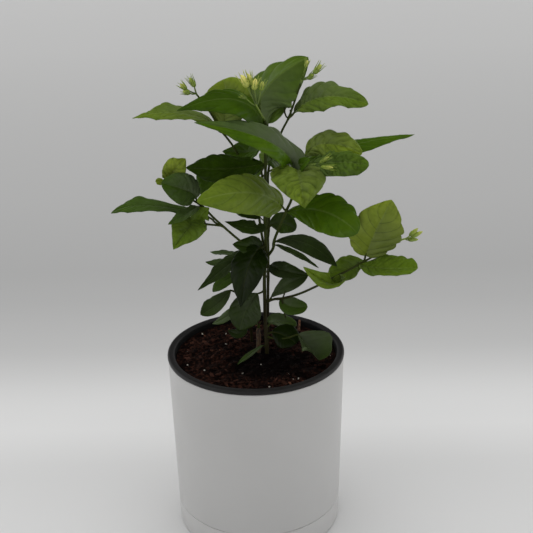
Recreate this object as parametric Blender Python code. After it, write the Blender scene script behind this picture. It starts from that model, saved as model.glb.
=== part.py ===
"""Potted jasmine: a white planter on its water tray, a black grower's pot, soil, leafy stems and bud sprays.

Every piece is a closed solid with its own material. Lengths in this file are millimetres, which MM turns into
Blender's metres. The origin is the centre of the tray's flat underside, +Z is up and -Y is the plant's front.
"""

import math

import bmesh
import bpy
from mathutils import Vector

MM = 0.001
GAP = 0.3
ROUND = 36

# Planter and the pots in it
HEIGHT = 172.0
RIM_RADIUS = 80.0
BASE_RADIUS = 76.0
TRAY_HEIGHT = 23.5
WALL = 3.0
FLOOR = 3.0
FOOT_HEIGHT = 17.0
LIP_HEIGHT = 4.0
LIP_WIDTH = 6.5
GROWER_WALL = 1.6
GROWER_TOP_RADIUS = 73.0
GROWER_FLOOR_RADIUS = 60.0
GROWER_FLOOR_Z = 32.0
DRAIN_RADIUS = 5.0
DRAIN_RING = 40.0
DRAIN_COUNT = 4

# Soil
SOIL_EDGE_Z = 166.0
SOIL_MOUND = 3.0
SOIL_LUMP = 1.1
SOIL_RINGS = 7
FOOT_Z = 126.0
SOIL_LINE_Z = 172.0

# Plant
STEM_SIDES = 6
HOLE_SIDES = 10
PETIOLE_SIDES = 4
BLADE = 0.8
WIDE_BLADE = 27
WIDE_GRID = (5, 2)
NARROW_GRID = (5, 1)
PETIOLE_RADIUS = 0.9

WHITE = (0.62, 0.62, 0.61)
BLACK = (0.018, 0.018, 0.02)
SOIL = (0.035, 0.018, 0.012)
LEAF = (0.09, 0.17, 0.02)
DARK_LEAF = (0.03, 0.07, 0.015)
BUD = (0.42, 0.44, 0.06)
BARK = (0.16, 0.10, 0.05)

# Paths of the stems that stand in the soil, from the soil's surface to the growing tip.
STEMS = {
    "centre": [(10, -5, SOIL_LINE_Z), (9.5, -1, 186.5), (9, 3, 200), (9, 6.5, 215), (9, 8.5, 235.5),
               (10, 8.5, 252),
               (11, 7.5, 266), (10.5, 6, 290), (11, 4, 312), (12, 2, 344), (12, 1, 360), (14, -1, 375),
               (13, -6, 381), (12, -10, 385)],
    "low_left": [(-4, 23, SOIL_LINE_Z), (-5, 22, 192), (-5, 19, 210), (-5, 16, 228), (-6, 12, 250),
                 (-6, 11, 264)],
    "back": [(11, 22, SOIL_LINE_Z), (12, 34, 210), (13, 38, 260), (11, 40, 300), (8, 40, 330)],
}

# Paths of the shoots that branch off those stems.
BRANCHES = {
    "right": ("centre", [(10.5, 8, 256), (17, 6, 266), (19, 3, 277), (29, -6, 305), (34, -10, 319),
                         (37, -14, 343), (38, -16, 347)]),
    "left": ("centre", [(10.5, 8, 261), (0, 2, 267), (-11, 0, 276), (-24, -4, 290), (-34, -6, 301),
                        (-42, -8, 311), (-57, -9, 322), (-70, -10, 332)]),
    "left_twig": ("left", [(-26, -4.5, 292), (-40, -8, 295), (-50, -12, 296)]),
    "top_right": ("centre", [(11, 8, 262), (14, 12, 285), (14, 13, 309), (14, 12, 331), (17, 11, 347),
                             (26, 9, 370), (32, 8, 382), (38, 6, 399), (42, 5, 411)]),
    "top_left": ("centre", [(10.5, 8, 258), (7, 15, 280), (3, 20, 306), (-5, 20, 334), (-15, 16, 356),
                            (-24, 14, 370), (-35, 11, 390), (-43, 9, 402)]),
    "low_right": ("centre", [(9, 6.5, 214.5), (17, 5, 218), (24, 2, 220), (39, -5, 227), (56, -12, 238),
                             (79, -14, 251), (95, -14, 260), (113, -12, 270), (126, -10, 277)]),
}

# Radius of each stem and branch at its start and at its tip.
STEM_RADII = {
    "centre": (1.8, 1.0), "low_left": (1.3, 0.9), "back": (1.5, 0.9), "right": (1.3, 1.0), "left": (1.2, 0.8),
    "left_twig": (0.9, 0.9), "top_right": (1.2, 0.8), "top_left": (1.2, 0.8), "low_right": (1.2, 0.8),
}

# Cut-off woody stump: where it stands, where it ends and its radius.
STUMP_FOOT = (2.5, -1.5)
STUMP_TOP = (3.0, 1.0, 191.5)
STUMP_RADIUS = 2.1

# Leaves of each stem: height where the petiole leaves it, petiole length, middle and tip of the midrib,
# width, place of the widest part as a share of the length, the way the upper side faces, fold of the halves
# in degrees and depth of the waves along the edge.
LEAVES = {
    "centre": [
        (376, 2, (30, -1, 393), (49, 15, 431), 68, 0.65, (-0.73, -0.58, 0.36), 42, 1.5),
        (371, 7, (-11, -14, 403), (-58, -26, 398), 37, 0.32, (0.2, -0.34, 0.92), -10, 1),
        (375, 5, (18, 24, 400), (19, 36, 414), 32, 0.45, (0.1, -0.5, 0.8), 8, 1),
        (344, 2, (-21, -7, 343), (-54, -14, 348), 32, 0.54, (-0.09, -0.42, 0.9), 12, 1),
        (345, 3, (21, 19, 343), (29, 34, 337), 27, 0.43, (0.1, -0.89, 0.45), 4, 1),
        (359, 9, (-2, 15, 350), (-22, 26, 353), 20, 0.55, (-0.21, -0.49, 0.85), 11, 1),
        (318, 6, (-25, 14, 326), (-47, 22, 333), 42, 0.54, (-0.05, -0.9, 0.43), 6, 1),
        (287, 7, (0, 0, 288), (-24, -2, 295), 16, 0.45, (-0.03, -0.51, 0.86), 3, 1),
        (292, 5, (-4, 14, 295), (-16, 20, 296), 8, 0.48, (0, -0.59, 0.81), 6, 0.5),
        (284, 6, (26, 7, 289), (37, 5, 283), 20, 0.51, (-0.01, -0.78, 0.63), 9, 0.5),
        (270, 8, (-5, -13, 255), (-12, -20, 222), 30, 0.37, (-0.28, -0.96, -0.02), 9, 1),
        (248, 7, (29, -8, 250), (49, -13, 248), 15, 0.37, (-0.16, -0.73, 0.66), 9, 0.5),
        (226, 7, (-10, 1, 211), (-15, -6, 193), 22, 0.58, (-0.2, -0.94, 0.27), 7, 0.5),
        (187, 6, (27, -6, 186.5), (36, -12, 181.5), 23, 0.53, (-0.01, -0.94, 0.33), 10, 0.5),
        (184, 31, (49, -17, 177), (56, -30, 174), 44, 0.49, (0.47, -0.56, 0.68), 28, 0.5),
        (177, 5, (-5, -17, 174.5), (-16, -36, 174.5), 6, 0.55, (-0.08, -0.2, 0.98), 10, 0.3),
        (192, 6, (22, 15, 191), (38, 18, 186), 18, 0.47, (-0.03, -0.54, 0.84), 7, 0.5),
        (262, 4, (0, 0, 270), (-18, -2, 274), 20, 0.44, (0.02, -0.78, 0.62), 5, 0.5),
    ],
    "right": [
        (341, 9, (12, -27, 373), (-43, -34, 389), 28, 0.27, (-0.51, -0.44, 0.74), 13, 1),
        (341, 15, (63, -13, 367), (91, -22, 360), 29, 0.74, (-0.02, -0.51, 0.86), -5, 2),
        (343, 9, (87, 10, 357), (141, 26, 361), 38, 0.48, (-0.37, -0.02, 0.93), 7, 1.5),
        (340, 6, (66, -28, 351), (95, -39, 353), 33, 0.69, (0, -0.53, 0.85), 15, 2),
        (342, 7, (37, -34, 340), (41, -50, 325), 47, 0.54, (0.18, -0.96, 0.22), 20, 1.5),
        (305, 6, (-2, -32, 330), (-44, -46, 328), 35, 0.43, (-0.01, -0.84, 0.55), -10, 1.5),
        (303, 2, (60, -27, 311), (85, -38, 297), 40, 0.52, (0.04, -0.75, 0.66), 1, 1),
        (273, 2, (45, -11, 277), (71, -26, 261), 19, 0.61, (0, -0.51, 0.86), 7, 0.5),
        (270, 2, (40, 2, 260), (57, -4, 251), 7, 0.4, (-0.17, -0.15, 0.97), 15, 0.5),
    ],
    "left": [
        (304, 3, (-83, -10, 308), (-119, -14, 309), 24, 0.69, (-0.2, -0.26, 0.94), 23, 1),
        (308, 6, (-58, -12, 305), (-71, -20, 299), 14, 0.45, (-0.22, -0.54, 0.81), 12, 1),
        (313, 8, (-54, -17, 328), (-74, -26, 338), 25, 0.64, (0.18, -0.82, 0.54), 24, 1),
        (331, 5, (-65, -12, 344), (-54, -14, 355), 19, 0.57, (0.41, -0.91, -0.07), 19, 0.5),
        (331, 3, (-77, -12, 335), (-80, -13, 336), 6, 0.5, (0, -0.8, 0.5), 5, 0.3),
    ],
    "left_twig": [
        (296, 5, (-55, -22, 295), (-66, -38, 284), 32, 0.4, (-0.09, -0.84, 0.53), 24, 1),
        (295, 3, (-44, -14, 304), (-36, -14, 312), 16, 0.5, (0, -0.9, 0.3), 5, 0.5),
    ],
    "top_right": [
        (382, 7, (63, 5, 399), (99, 2, 396), 33, 0.58, (-0.29, -0.44, 0.85), 8, 2),
    ],
    "top_left": [
        (369, 10, (-60, 10, 387), (-98, 5, 385), 29, 0.49, (0.01, -0.14, 0.99), 4, 1.5),
        (370, 5, (-19, 15, 396), (-22, 20, 413), 40, 0.58, (-0.12, -0.96, 0.24), 12, 1),
        (370, 5, (-22, 45, 383), (-27, 70, 384), 26, 0.45, (0, 0.1, 1), 8, 1.5),
    ],
    "low_right": [
        (260, 6, (105, -16, 290), (117, -18, 317), 46, 0.54, (0.04, -0.93, -0.38), 17, 1.5),
        (259, 4, (115, -28, 255), (138, -40, 261), 45, 0.52, (-0.22, -0.05, 0.97), 17, 1),
        (258, 3, (90, -5, 254), (65, -1, 245), 19, 0.78, (0.03, -0.74, 0.67), 14, 1),
        (249, 2, (69, -26, 243), (42, -35, 265), 22, 0.39, (-0.66, -0.35, 0.66), 32, 1),
        (216, 5, (32, 3, 233), (48, 2, 242), 9, 0.66, (-0.18, -0.75, 0.63), 18, 0.5),
        (219, 8, (31, 0, 212), (46, -4, 213), 20, 0.52, (-0.17, -0.54, 0.82), 10, 0.5),
    ],
    "low_left": [
        (262, 2, (-25, -6, 254), (-49, -16, 237), 16, 0.34, (-0.34, -0.59, 0.73), 10, 1),
        (252, 5, (-29, 18, 249), (-44, 26, 247), 9, 0.5, (0, -0.4, 0.8), 5, 0.5),
        (257, 5, (-26, 26, 255), (-40, 38, 252), 10, 0.5, (0, -0.1, 1), 5, 0.5),
        (241, 5, (-26, 4, 237), (-37, 1, 228), 12, 0.5, (-0.04, -0.69, 0.72), 6, 0.5),
        (222, 21, (-35, -4, 217), (-48, -10, 211), 17, 0.55, (-0.06, -0.45, 0.89), 28, 0.5),
        (212, 7, (-25, 15, 198), (-40, 24, 186), 9, 0.47, (-0.06, -0.65, 0.76), 4, 0.5),
        (191, 8, (-14, 4, 180), (-25, 10, 189.5), 15, 0.53, (-0.09, -0.66, 0.74), 8, 0.5),
    ],
    "back": [
        (327, 6, (25, 62, 340), (31, 92, 341), 28, 0.45, (0.1, 0.1, 1), 8, 1.5),
        (318, 6, (-20, 66, 326), (-34, 94, 320), 36, 0.45, (-0.2, 0.2, 0.9), 8, 1.5),
        (292, 6, (-13, 68, 299), (-28, 96, 292), 38, 0.45, (-0.3, 0.3, 0.9), 8, 1.5),
        (274, 8, (60, 62, 281), (76, 90, 274), 34, 0.45, (0.3, 0.4, 0.9), 8, 1.5),
        (322, 8, (68, 60, 336), (88, 86, 331), 34, 0.45, (0.2, 0.3, 0.9), 8, 1.5),
        (226, 6, (-4, 58, 224), (-8, 84, 216), 26, 0.45, (-0.2, 0.4, 0.9), 8, 1.5),
    ],
}

DARK_STEMS = ("low_left",)

# Sprays of buds: the stem each grows on, its stalk's path past that stem's tip, then each bud's base, tip and
# width. Every bud's own stalk starts from the end of the spray's stalk.
SPRAYS = {
    "centre": ([(10, -15, 390), (5, -18, 400)],
               [((-1, -17, 408), (-5, -18, 418), 4.5), ((3, -18, 407), (3, -19, 417), 4.5),
                ((9, -17, 406), (11, -17, 414), 4.0), ((-1, -21, 399), (-6, -22, 403), 3.0)]),
    "top_right": ([(43, 5, 415)],
                  [((53, 2, 420), (58, 1, 427), 4.0), ((48, 3, 416), (52, 2, 420), 3.5),
                   ((46, -2, 422), (48, -5, 431), 3.5)]),
    "top_left": ([(-44, 8.5, 404)],
                 [((-45, 7, 410), (-49, 6, 418), 3.5), ((-52, 7, 408), (-57, 6, 413), 3.5),
                  ((-51, 5, 403), (-56, 4, 405), 3.0)]),
    "right": ([(41, -24, 351), (47, -28, 352), (54, -31, 353)],
              [((56, -33, 355), (64, -38, 362), 4.0), ((58, -35, 352), (67, -42, 354), 4.5)]),
    "low_right": ([(131, -10, 279)],
                  [((134, -11, 282), (139, -12, 288), 3.5), ((136, -11, 281), (144, -12, 285), 3.5),
                   ((133, -10, 278), (141, -10, 277), 3.0)]),
}
BUD_SIDES = 6
BUD_TEETH = 4
TOOTH_RADIUS = 0.6
TOOTH_TIP_RADIUS = 0.3
BUD_STALK_RADIUS = 0.7
SPRAY_SOCKET = 2.0


def clear_scene():
    """Empties the scene the script runs in."""
    for item in list(bpy.context.scene.objects):
        bpy.data.objects.remove(item)


def material(name, colour, roughness, metallic=0.0):
    """A plain Principled material of the piece's own colour."""
    made = bpy.data.materials.new(name)
    made.use_nodes = True
    shader = made.node_tree.nodes["Principled BSDF"]
    shader.inputs["Base Color"].default_value = (*colour, 1.0)
    shader.inputs["Roughness"].default_value = roughness
    shader.inputs["Metallic"].default_value = metallic
    return made


def place(name, mesh, finish=None):
    """Puts a mesh in the scene as an object."""
    made = bpy.data.objects.new(name, mesh)
    bpy.context.scene.collection.objects.link(made)
    if finish:
        mesh.materials.append(finish)
    return made


def shade_round(mesh, angle=40):
    """Smooth shading with the turned edges kept sharp."""
    mesh.shade_smooth()
    mesh.set_sharp_from_angle(angle=math.radians(angle))


def turned(name, outline, finish):
    """Spins an outline of (radius, height) points round the Z axis into a closed solid."""
    work = bmesh.new()
    points = [work.verts.new((radius * MM, 0, height * MM)) for radius, height in outline]
    ring = [work.edges.new((points[i], points[(i + 1) % len(points)])) for i in range(len(points))]
    axis_edges = [edge for edge in ring if all(abs(v.co.x) < 1e-9 for v in edge.verts)]
    profile = points + [edge for edge in ring if edge not in axis_edges]
    bmesh.ops.spin(work, geom=profile, axis=(0, 0, 1), cent=(0, 0, 0), steps=ROUND, angle=math.tau,
                   use_merge=True)
    bmesh.ops.remove_doubles(work, verts=work.verts, dist=1e-6)
    loose = [edge for edge in work.edges if not edge.link_faces]
    bmesh.ops.delete(work, geom=loose, context="EDGES")
    bmesh.ops.recalc_face_normals(work, faces=work.faces)
    mesh = bpy.data.meshes.new(name)
    work.to_mesh(mesh)
    work.free()
    shade_round(mesh)
    return place(name, mesh, finish)


def cylinders(name, posts):
    """One hidden cutter made of upright cylinders, each a (x, y, bottom, top, radius) row."""
    work = bmesh.new()
    for x, y, bottom, top, radius in posts:
        made = bmesh.ops.create_cone(work, cap_ends=True, segments=HOLE_SIDES, radius1=radius * MM,
                                     radius2=radius * MM, depth=(top - bottom) * MM)
        bmesh.ops.translate(work, verts=made["verts"], vec=(x * MM, y * MM, (top + bottom) / 2 * MM))
    mesh = bpy.data.meshes.new(name)
    work.to_mesh(mesh)
    work.free()
    cutter = place(name, mesh)
    cutter.hide_render = True
    cutter.display_type = "WIRE"
    return cutter


def cut(piece, cutter):
    """Cuts the cutter's shape out of the piece."""
    step = piece.modifiers.new("Cut", "BOOLEAN")
    step.operation = "DIFFERENCE"
    step.solver = "EXACT"
    step.object = cutter


def drains(name, bottom, top):
    """Cutter for a ring of drain holes round a central one."""
    turns = [i * math.tau / DRAIN_COUNT for i in range(DRAIN_COUNT)]
    spots = [(0, 0)] + [(DRAIN_RING * math.cos(a), DRAIN_RING * math.sin(a)) for a in turns]
    return cylinders(name, [(x, y, bottom, top, DRAIN_RADIUS) for x, y in spots])


def outer_radius(height):
    """Outside of the planter and its tray, which taper together."""
    return BASE_RADIUS + (RIM_RADIUS - 0.4 - BASE_RADIUS) * height / HEIGHT


def water_tray():
    """Shallow tray that the planter stands in, flat underneath."""
    top = outer_radius(TRAY_HEIGHT)
    outline = [(0, 0), (BASE_RADIUS - 2, 0), (BASE_RADIUS, 2), (top, TRAY_HEIGHT), (top - WALL, TRAY_HEIGHT),
               (BASE_RADIUS - WALL, FLOOR + 1), (BASE_RADIUS - WALL - 1, FLOOR), (0, FLOOR)]
    return turned("water_tray", outline, material("tray_plastic", WHITE, 0.45))


def planter():
    """Tapered white outer pot with a foot that stands inside the tray."""
    low = TRAY_HEIGHT + GAP
    top = HEIGHT - LIP_HEIGHT - GAP
    foot = BASE_RADIUS - WALL - 2.0
    foot_z = FLOOR + GAP
    floor_z = foot_z + FOOT_HEIGHT
    outline = [(0, floor_z), (foot - WALL, floor_z), (foot - WALL, foot_z), (foot, foot_z), (foot, low),
               (outer_radius(low), low), (outer_radius(top), top), (outer_radius(top) - WALL, top),
               (outer_radius(low) - WALL, low + FLOOR), (foot - WALL, floor_z + FLOOR), (0, floor_z + FLOOR)]
    piece = turned("planter", outline, material("planter_plastic", WHITE, 0.4))
    cut(piece, drains("planter_drain_cutter", floor_z - 2, floor_z + FLOOR + 2))
    return piece


def soil_side(height):
    """Radius of the soil where it lies against the grower's pot."""
    share = (height - GROWER_FLOOR_Z) / (HEIGHT - GROWER_FLOOR_Z)
    inner = GROWER_FLOOR_RADIUS + (GROWER_TOP_RADIUS - GROWER_FLOOR_RADIUS) * share
    return inner - GAP


def nursery_pot():
    """Black grower's pot that hangs by its rolled lip on the planter's edge."""
    under = HEIGHT - LIP_HEIGHT
    neck = GROWER_TOP_RADIUS + GROWER_WALL
    floor_z = GROWER_FLOOR_Z
    floor_radius = GROWER_FLOOR_RADIUS
    outline = [(0, floor_z - 2), (floor_radius, floor_z - 2), (floor_radius + GROWER_WALL, floor_z),
               (neck - 0.4, under - 6), (neck, under), (RIM_RADIUS - 0.3, under), (RIM_RADIUS, under + 1),
               (RIM_RADIUS, HEIGHT - 1.5), (RIM_RADIUS - 1.5, HEIGHT), (RIM_RADIUS - LIP_WIDTH + 1, HEIGHT),
               (GROWER_TOP_RADIUS, HEIGHT - 1), (floor_radius, floor_z), (0, floor_z)]
    piece = turned("nursery_pot", outline, material("nursery_pot_plastic", BLACK, 0.35))
    cut(piece, drains("nursery_drain_cutter", floor_z - 6, floor_z + 6))
    return piece


def soil_height(x, y):
    """Height of the soil's surface: a low mound with lumps that die out at the pot's wall."""
    out = min(1.0, math.hypot(x, y) / soil_side(SOIL_EDGE_Z))
    lumps = math.sin(0.16 * x + 1.1) * math.cos(0.19 * y) + 0.7 * math.sin(0.41 * x - 0.33 * y + 2.0)
    return SOIL_EDGE_Z + SOIL_MOUND * (1 - out * out) + SOIL_LUMP * lumps * (1 - out ** 6)


def potting_soil():
    """Soil that fills the grower's pot, with a plain hole for each stem."""
    side = soil_side(SOIL_EDGE_Z)
    bottom = GROWER_FLOOR_Z + GAP
    outline = [(0, bottom), (soil_side(bottom), bottom), (side, SOIL_EDGE_Z)]
    for ring in range(SOIL_RINGS - 1, -1, -1):
        outline.append((side * ring / SOIL_RINGS, SOIL_EDGE_Z + SOIL_MOUND))
    piece = turned("potting_soil", outline, material("soil", SOIL, 0.95))
    for vertex in piece.data.vertices:
        if vertex.co.z > (SOIL_EDGE_Z + 1) * MM:
            vertex.co.z = soil_height(vertex.co.x / MM, vertex.co.y / MM) * MM
    holes = []
    for name, path in STEMS.items():
        holes.append((*path[0][:2], FOOT_Z - GAP, SOIL_LINE_Z + 12, STEM_RADII[name][0] + GAP + 0.1))
    holes.append((*STUMP_FOOT, FOOT_Z - GAP, SOIL_LINE_Z + 12, STUMP_RADIUS + GAP + 0.1))
    cut(piece, cylinders("stem_hole_cutter", holes))
    return piece


def smooth_path(points, lead=None, steps=2):
    """Points along a smooth curve through the given ones, entered from the lead point."""
    knots = [Vector(p) for p in points]
    before = Vector(lead) if lead else 2 * knots[0] - knots[1]
    knots = [before] + knots + [2 * knots[-1] - knots[-2]]
    path = []
    for p0, p1, p2, p3 in zip(knots, knots[1:], knots[2:], knots[3:]):
        for step in range(steps):
            t = step / steps
            path.append(0.5 * (2 * p1 + (p2 - p0) * t + (2 * p0 - 5 * p1 + 4 * p2 - p3) * t ** 2
                               + (3 * p1 - p0 - 3 * p2 + p3) * t ** 3))
    path.append(knots[-2])
    return path


def shoot_path(name):
    """Path of a stem, with its upright foot in the soil, or of a branch."""
    if name in BRANCHES:
        return smooth_path(BRANCHES[name][1])
    x, y, _ = STEMS[name][0]
    foot = Vector((x, y, FOOT_Z))
    return [foot] + smooth_path(STEMS[name], lead=foot)


def along_stem(path, height):
    """The point of a stem's path at a height."""
    for low, high in zip(path, path[1:]):
        if min(low.z, high.z) <= height <= max(low.z, high.z) and low.z != high.z:
            return low.lerp(high, (height - low.z) / (high.z - low.z))
    return path[-1].copy()


def tube(name, path, start_radius, end_radius, sides):
    """A round tapered solid along a path."""
    curve = bpy.data.curves.new(name, "CURVE")
    curve.dimensions = "3D"
    curve.bevel_depth = MM
    curve.bevel_resolution = sides // 2 - 2 if sides % 2 == 0 else 0
    curve.use_fill_caps = True
    spline = curve.splines.new("POLY")
    spline.points.add(len(path) - 1)
    for i, point in enumerate(path):
        share = i / (len(path) - 1)
        spline.points[i].co = (*(point * MM), 1)
        spline.points[i].radius = start_radius + (end_radius - start_radius) * share
    guide = place(name, curve)
    mesh = bpy.data.meshes.new_from_object(guide.evaluated_get(bpy.context.evaluated_depsgraph_get()))
    bpy.data.objects.remove(guide)
    work = bmesh.new()
    work.from_mesh(mesh)
    bmesh.ops.remove_doubles(work, verts=work.verts, dist=1e-6)
    bmesh.ops.recalc_face_normals(work, faces=work.faces)
    work.to_mesh(mesh)
    work.free()
    return place(name, mesh)


def blade_width(share, belly):
    """Width of a leaf along its length, as a share of the widest: rounded base, drawn-out tip."""
    if not 0 < share < 1:
        return 0.0
    skew = math.log(0.5) / math.log(belly)
    return math.sin(math.pi * share ** skew) ** 0.75 * (1 - 0.2 * share ** 4)


def blade(name, base, bow, tip, width, belly, face, fold, wave):
    """A thin closed leaf blade on a midrib that bends from base to tip towards the bow point."""
    face = Vector(face).normalized()
    tilt = math.radians(fold)
    rows, half_columns = WIDE_GRID if width > WIDE_BLADE else NARROW_GRID
    columns = range(-half_columns, half_columns + 1)
    work = bmesh.new()
    upper, lower = [], []
    for row in range(rows + 1):
        t = row / rows
        centre = base * (1 - t) ** 2 + bow * 2 * t * (1 - t) + tip * t ** 2
        along = ((bow - base) * (1 - t) + (tip - bow) * t).normalized()
        side = along.cross(face).normalized()
        up = side.cross(along)
        half = width / 2 * blade_width(t, belly) + (PETIOLE_RADIUS * 0.8 if row == 0 else 0)
        tops, bottoms = [], []
        for column in ([0] if row == rows else columns):
            across = column / half_columns
            ripple = wave * math.sin(9 * t + (2.0 if column > 0 else 0.4)) * abs(across) ** 2
            rise = half * abs(across) * math.sin(tilt) + ripple
            spot = centre + side * half * across * math.cos(tilt) + up * rise
            tops.append(work.verts.new((spot + up * BLADE / 2) * MM))
            bottoms.append(work.verts.new((spot - up * BLADE / 2) * MM))
        upper.append(tops)
        lower.append(bottoms)
    for sheet, turn in ((upper, 1), (lower, -1)):
        for near, far in zip(sheet, sheet[1:]):
            for i in range(len(near) - 1):
                if len(far) == 1:
                    work.faces.new((near[i], near[i + 1], far[0])[::turn])
                else:
                    work.faces.new((near[i], near[i + 1], far[i + 1])[::turn])
                    work.faces.new((near[i], far[i + 1], far[i])[::turn])
    for edge in (0, -1):
        for i in range(rows):
            work.faces.new((upper[i][edge], upper[i + 1][edge], lower[i + 1][edge], lower[i][edge]))
    for i in range(len(upper[0]) - 1):
        work.faces.new((upper[0][i], upper[0][i + 1], lower[0][i + 1], lower[0][i]))
    bmesh.ops.recalc_face_normals(work, faces=work.faces)
    mesh = bpy.data.meshes.new(name)
    work.to_mesh(mesh)
    work.free()
    return place(name, mesh)


def leaf(group, stem_path, at, petiole, middle, tip, width, belly, face, fold, wave):
    """A leaf on its petiole, which rises from the stem and runs on under the blade."""
    name = f"{group}_leaf"
    foot = along_stem(stem_path, at)
    middle, tip = Vector(middle), Vector(tip)
    base = foot + ((middle - foot).normalized() + Vector((0, 0, 0.4))).normalized() * petiole
    bow = 2 * middle - (base + tip) / 2
    stalk = [foot, base, base + (bow - base).normalized() * 4]
    return [tube(name, stalk, PETIOLE_RADIUS * 1.15, PETIOLE_RADIUS * 0.7, PETIOLE_SIDES),
            blade(name, base, bow, tip, width, belly, face, fold, wave)]


def drop_scraps(mesh):
    """Splits a fused mesh into triangles and keeps its largest part, without scraps and sealed hollows."""
    work = bmesh.new()
    work.from_mesh(mesh)
    bmesh.ops.triangulate(work, faces=work.faces)
    corners = {}
    for face in work.faces:
        corners.setdefault(frozenset(face.verts), []).append(face)
    flat = [face for twins in corners.values() if len(twins) > 1 for face in twins]
    bmesh.ops.delete(work, geom=flat, context="FACES")
    unseen = set(work.faces)
    parts = []
    while unseen:
        part = set()
        front = {next(iter(unseen))}
        while front:
            part |= front
            edges = {edge for face in front for edge in face.edges if len(edge.link_faces) == 2}
            front = {face for edge in edges for face in edge.link_faces} - part
        unseen -= part
        parts.append(part)
    largest = max(parts, key=len)
    bmesh.ops.delete(work, geom=[face for face in work.faces if face not in largest], context="FACES")
    work.to_mesh(mesh)
    work.free()


def fuse(name, body, grown, finish):
    """Joins what grows from a body to it with one Boolean union and leaves a single solid."""
    group = bpy.data.collections.new(name)
    bpy.context.scene.collection.children.link(group)
    for item in grown:
        bpy.context.scene.collection.objects.unlink(item)
        group.objects.link(item)
    step = body.modifiers.new("Grow", "BOOLEAN")
    step.operation = "UNION"
    step.operand_type = "COLLECTION"
    step.collection = group
    step.solver = "MANIFOLD"
    graph = bpy.context.evaluated_depsgraph_get()
    mesh = bpy.data.meshes.new_from_object(body.evaluated_get(graph))
    mesh.name = name
    mesh.materials.clear()
    for item in list(group.objects) + [body]:
        bpy.data.objects.remove(item)
    bpy.data.collections.remove(group)
    drop_scraps(mesh)
    shade_round(mesh, 35)
    return place(name, mesh, finish)


def shoot(name):
    """A stem or branch and its leaves, with all that branches off it, as separate solids."""
    path = shoot_path(name)
    start_radius, tip_radius = STEM_RADII[name]
    pieces = [tube(f"{name}_stem", path, start_radius, tip_radius, STEM_SIDES)]
    for row in LEAVES[name]:
        pieces += leaf(name, path, *row)
    for branch, (parent, _) in BRANCHES.items():
        if parent == name:
            pieces += shoot(branch)
    return pieces


def leafy_stem(stem):
    """One stem with its branches and leaves, a single solid."""
    body, *grown = shoot(stem)
    colour = DARK_LEAF if stem in DARK_STEMS else LEAF
    return fuse(f"leafy_stem_{stem}", body, grown, material(f"leaf_{stem}", colour, 0.4))


def cutting_stump():
    """Woody stump of the old cutting beside the stem."""
    foot = Vector((*STUMP_FOOT, FOOT_Z))
    path = [foot, Vector((*STUMP_FOOT, SOIL_LINE_Z)), Vector(STUMP_TOP)]
    piece = tube("cutting_stump", path, STUMP_RADIUS, STUMP_RADIUS * 0.9, STEM_SIDES)
    piece.data.materials.append(material("bark", BARK, 0.8))
    return piece


def spike(name, root, end):
    """A narrow three-sided tooth with a blunt tip."""
    work = bmesh.new()
    made = bmesh.ops.create_cone(work, cap_ends=True, segments=3, radius1=TOOTH_RADIUS * MM,
                                 radius2=TOOTH_TIP_RADIUS * MM, depth=(end - root).length * MM)
    turn = (end - root).to_track_quat("Z", "Y")
    for vertex in made["verts"]:
        vertex.co = turn @ vertex.co + (root + end) / 2 * MM
    mesh = bpy.data.meshes.new(name)
    work.to_mesh(mesh)
    work.free()
    return place(name, mesh)


def bud(name, base, tip, width):
    """A plump bud in its calyx, whose narrow teeth stand out round it."""
    base, tip = Vector(base), Vector(tip)
    axis = (tip - base).normalized()
    length = (tip - base).length
    across = axis.orthogonal().normalized()
    work = bmesh.new()

    def ring(share, radius):
        points = []
        for i in range(BUD_SIDES):
            angle = math.tau * i / BUD_SIDES
            out = across * math.cos(angle) + axis.cross(across) * math.sin(angle)
            points.append(work.verts.new((base + axis * length * share + out * radius) * MM))
        return points

    rows = [ring(share, width * radius) for share, radius in ((0, 0.22), (0.3, 0.5), (0.65, 0.42))]
    for low, high in zip(rows, rows[1:]):
        for i in range(BUD_SIDES):
            j = (i + 1) % BUD_SIDES
            work.faces.new((low[i], low[j], high[j], high[i]))
    top = work.verts.new(tip * MM)
    for i in range(BUD_SIDES):
        work.faces.new((rows[-1][i], rows[-1][(i + 1) % BUD_SIDES], top))
    work.faces.new(rows[0][::-1])
    bmesh.ops.recalc_face_normals(work, faces=work.faces)
    mesh = bpy.data.meshes.new(name)
    work.to_mesh(mesh)
    work.free()
    pieces = [place(name, mesh)]
    for i in range(BUD_TEETH):
        angle = math.tau * (i + 0.3) / BUD_TEETH
        out = across * math.cos(angle) + axis.cross(across) * math.sin(angle)
        root = base + axis * length * 0.2 + out * width * 0.2
        end = base + axis * length * 1.1 + out * width * 0.85
        pieces.append(spike(name, root, end))
    return pieces


def bud_spray(stem):
    """A spray of buds on the tip of a stem, a hair's breadth off it."""
    stem_path = shoot_path(stem)
    stalk, buds = SPRAYS[stem]
    onward = (stem_path[-1] - stem_path[-2]).normalized()
    start = stem_path[-1] + onward * GAP
    points = [start, start + onward * SPRAY_SOCKET] + [Vector(p) for p in stalk]
    name = f"bud_spray_{stem}"
    body = tube(name, points, BUD_STALK_RADIUS * 1.15, BUD_STALK_RADIUS, PETIOLE_SIDES)
    fork = points[-1] + (points[-2] - points[-1]).normalized() * BUD_STALK_RADIUS
    grown = []
    for base, tip, width in buds:
        inside = Vector(base).lerp(Vector(tip), 0.15)
        grown.append(tube(name, [fork, inside], BUD_STALK_RADIUS, BUD_STALK_RADIUS * 0.9, PETIOLE_SIDES))
        grown += bud(name, base, tip, width)
    return fuse(name, body, grown, material(f"bud_{stem}", BUD, 0.5))


def main():
    clear_scene()
    water_tray()
    planter()
    nursery_pot()
    potting_soil()
    for stem in STEMS:
        leafy_stem(stem)
    cutting_stump()
    for stem in SPRAYS:
        bud_spray(stem)


main()
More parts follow.
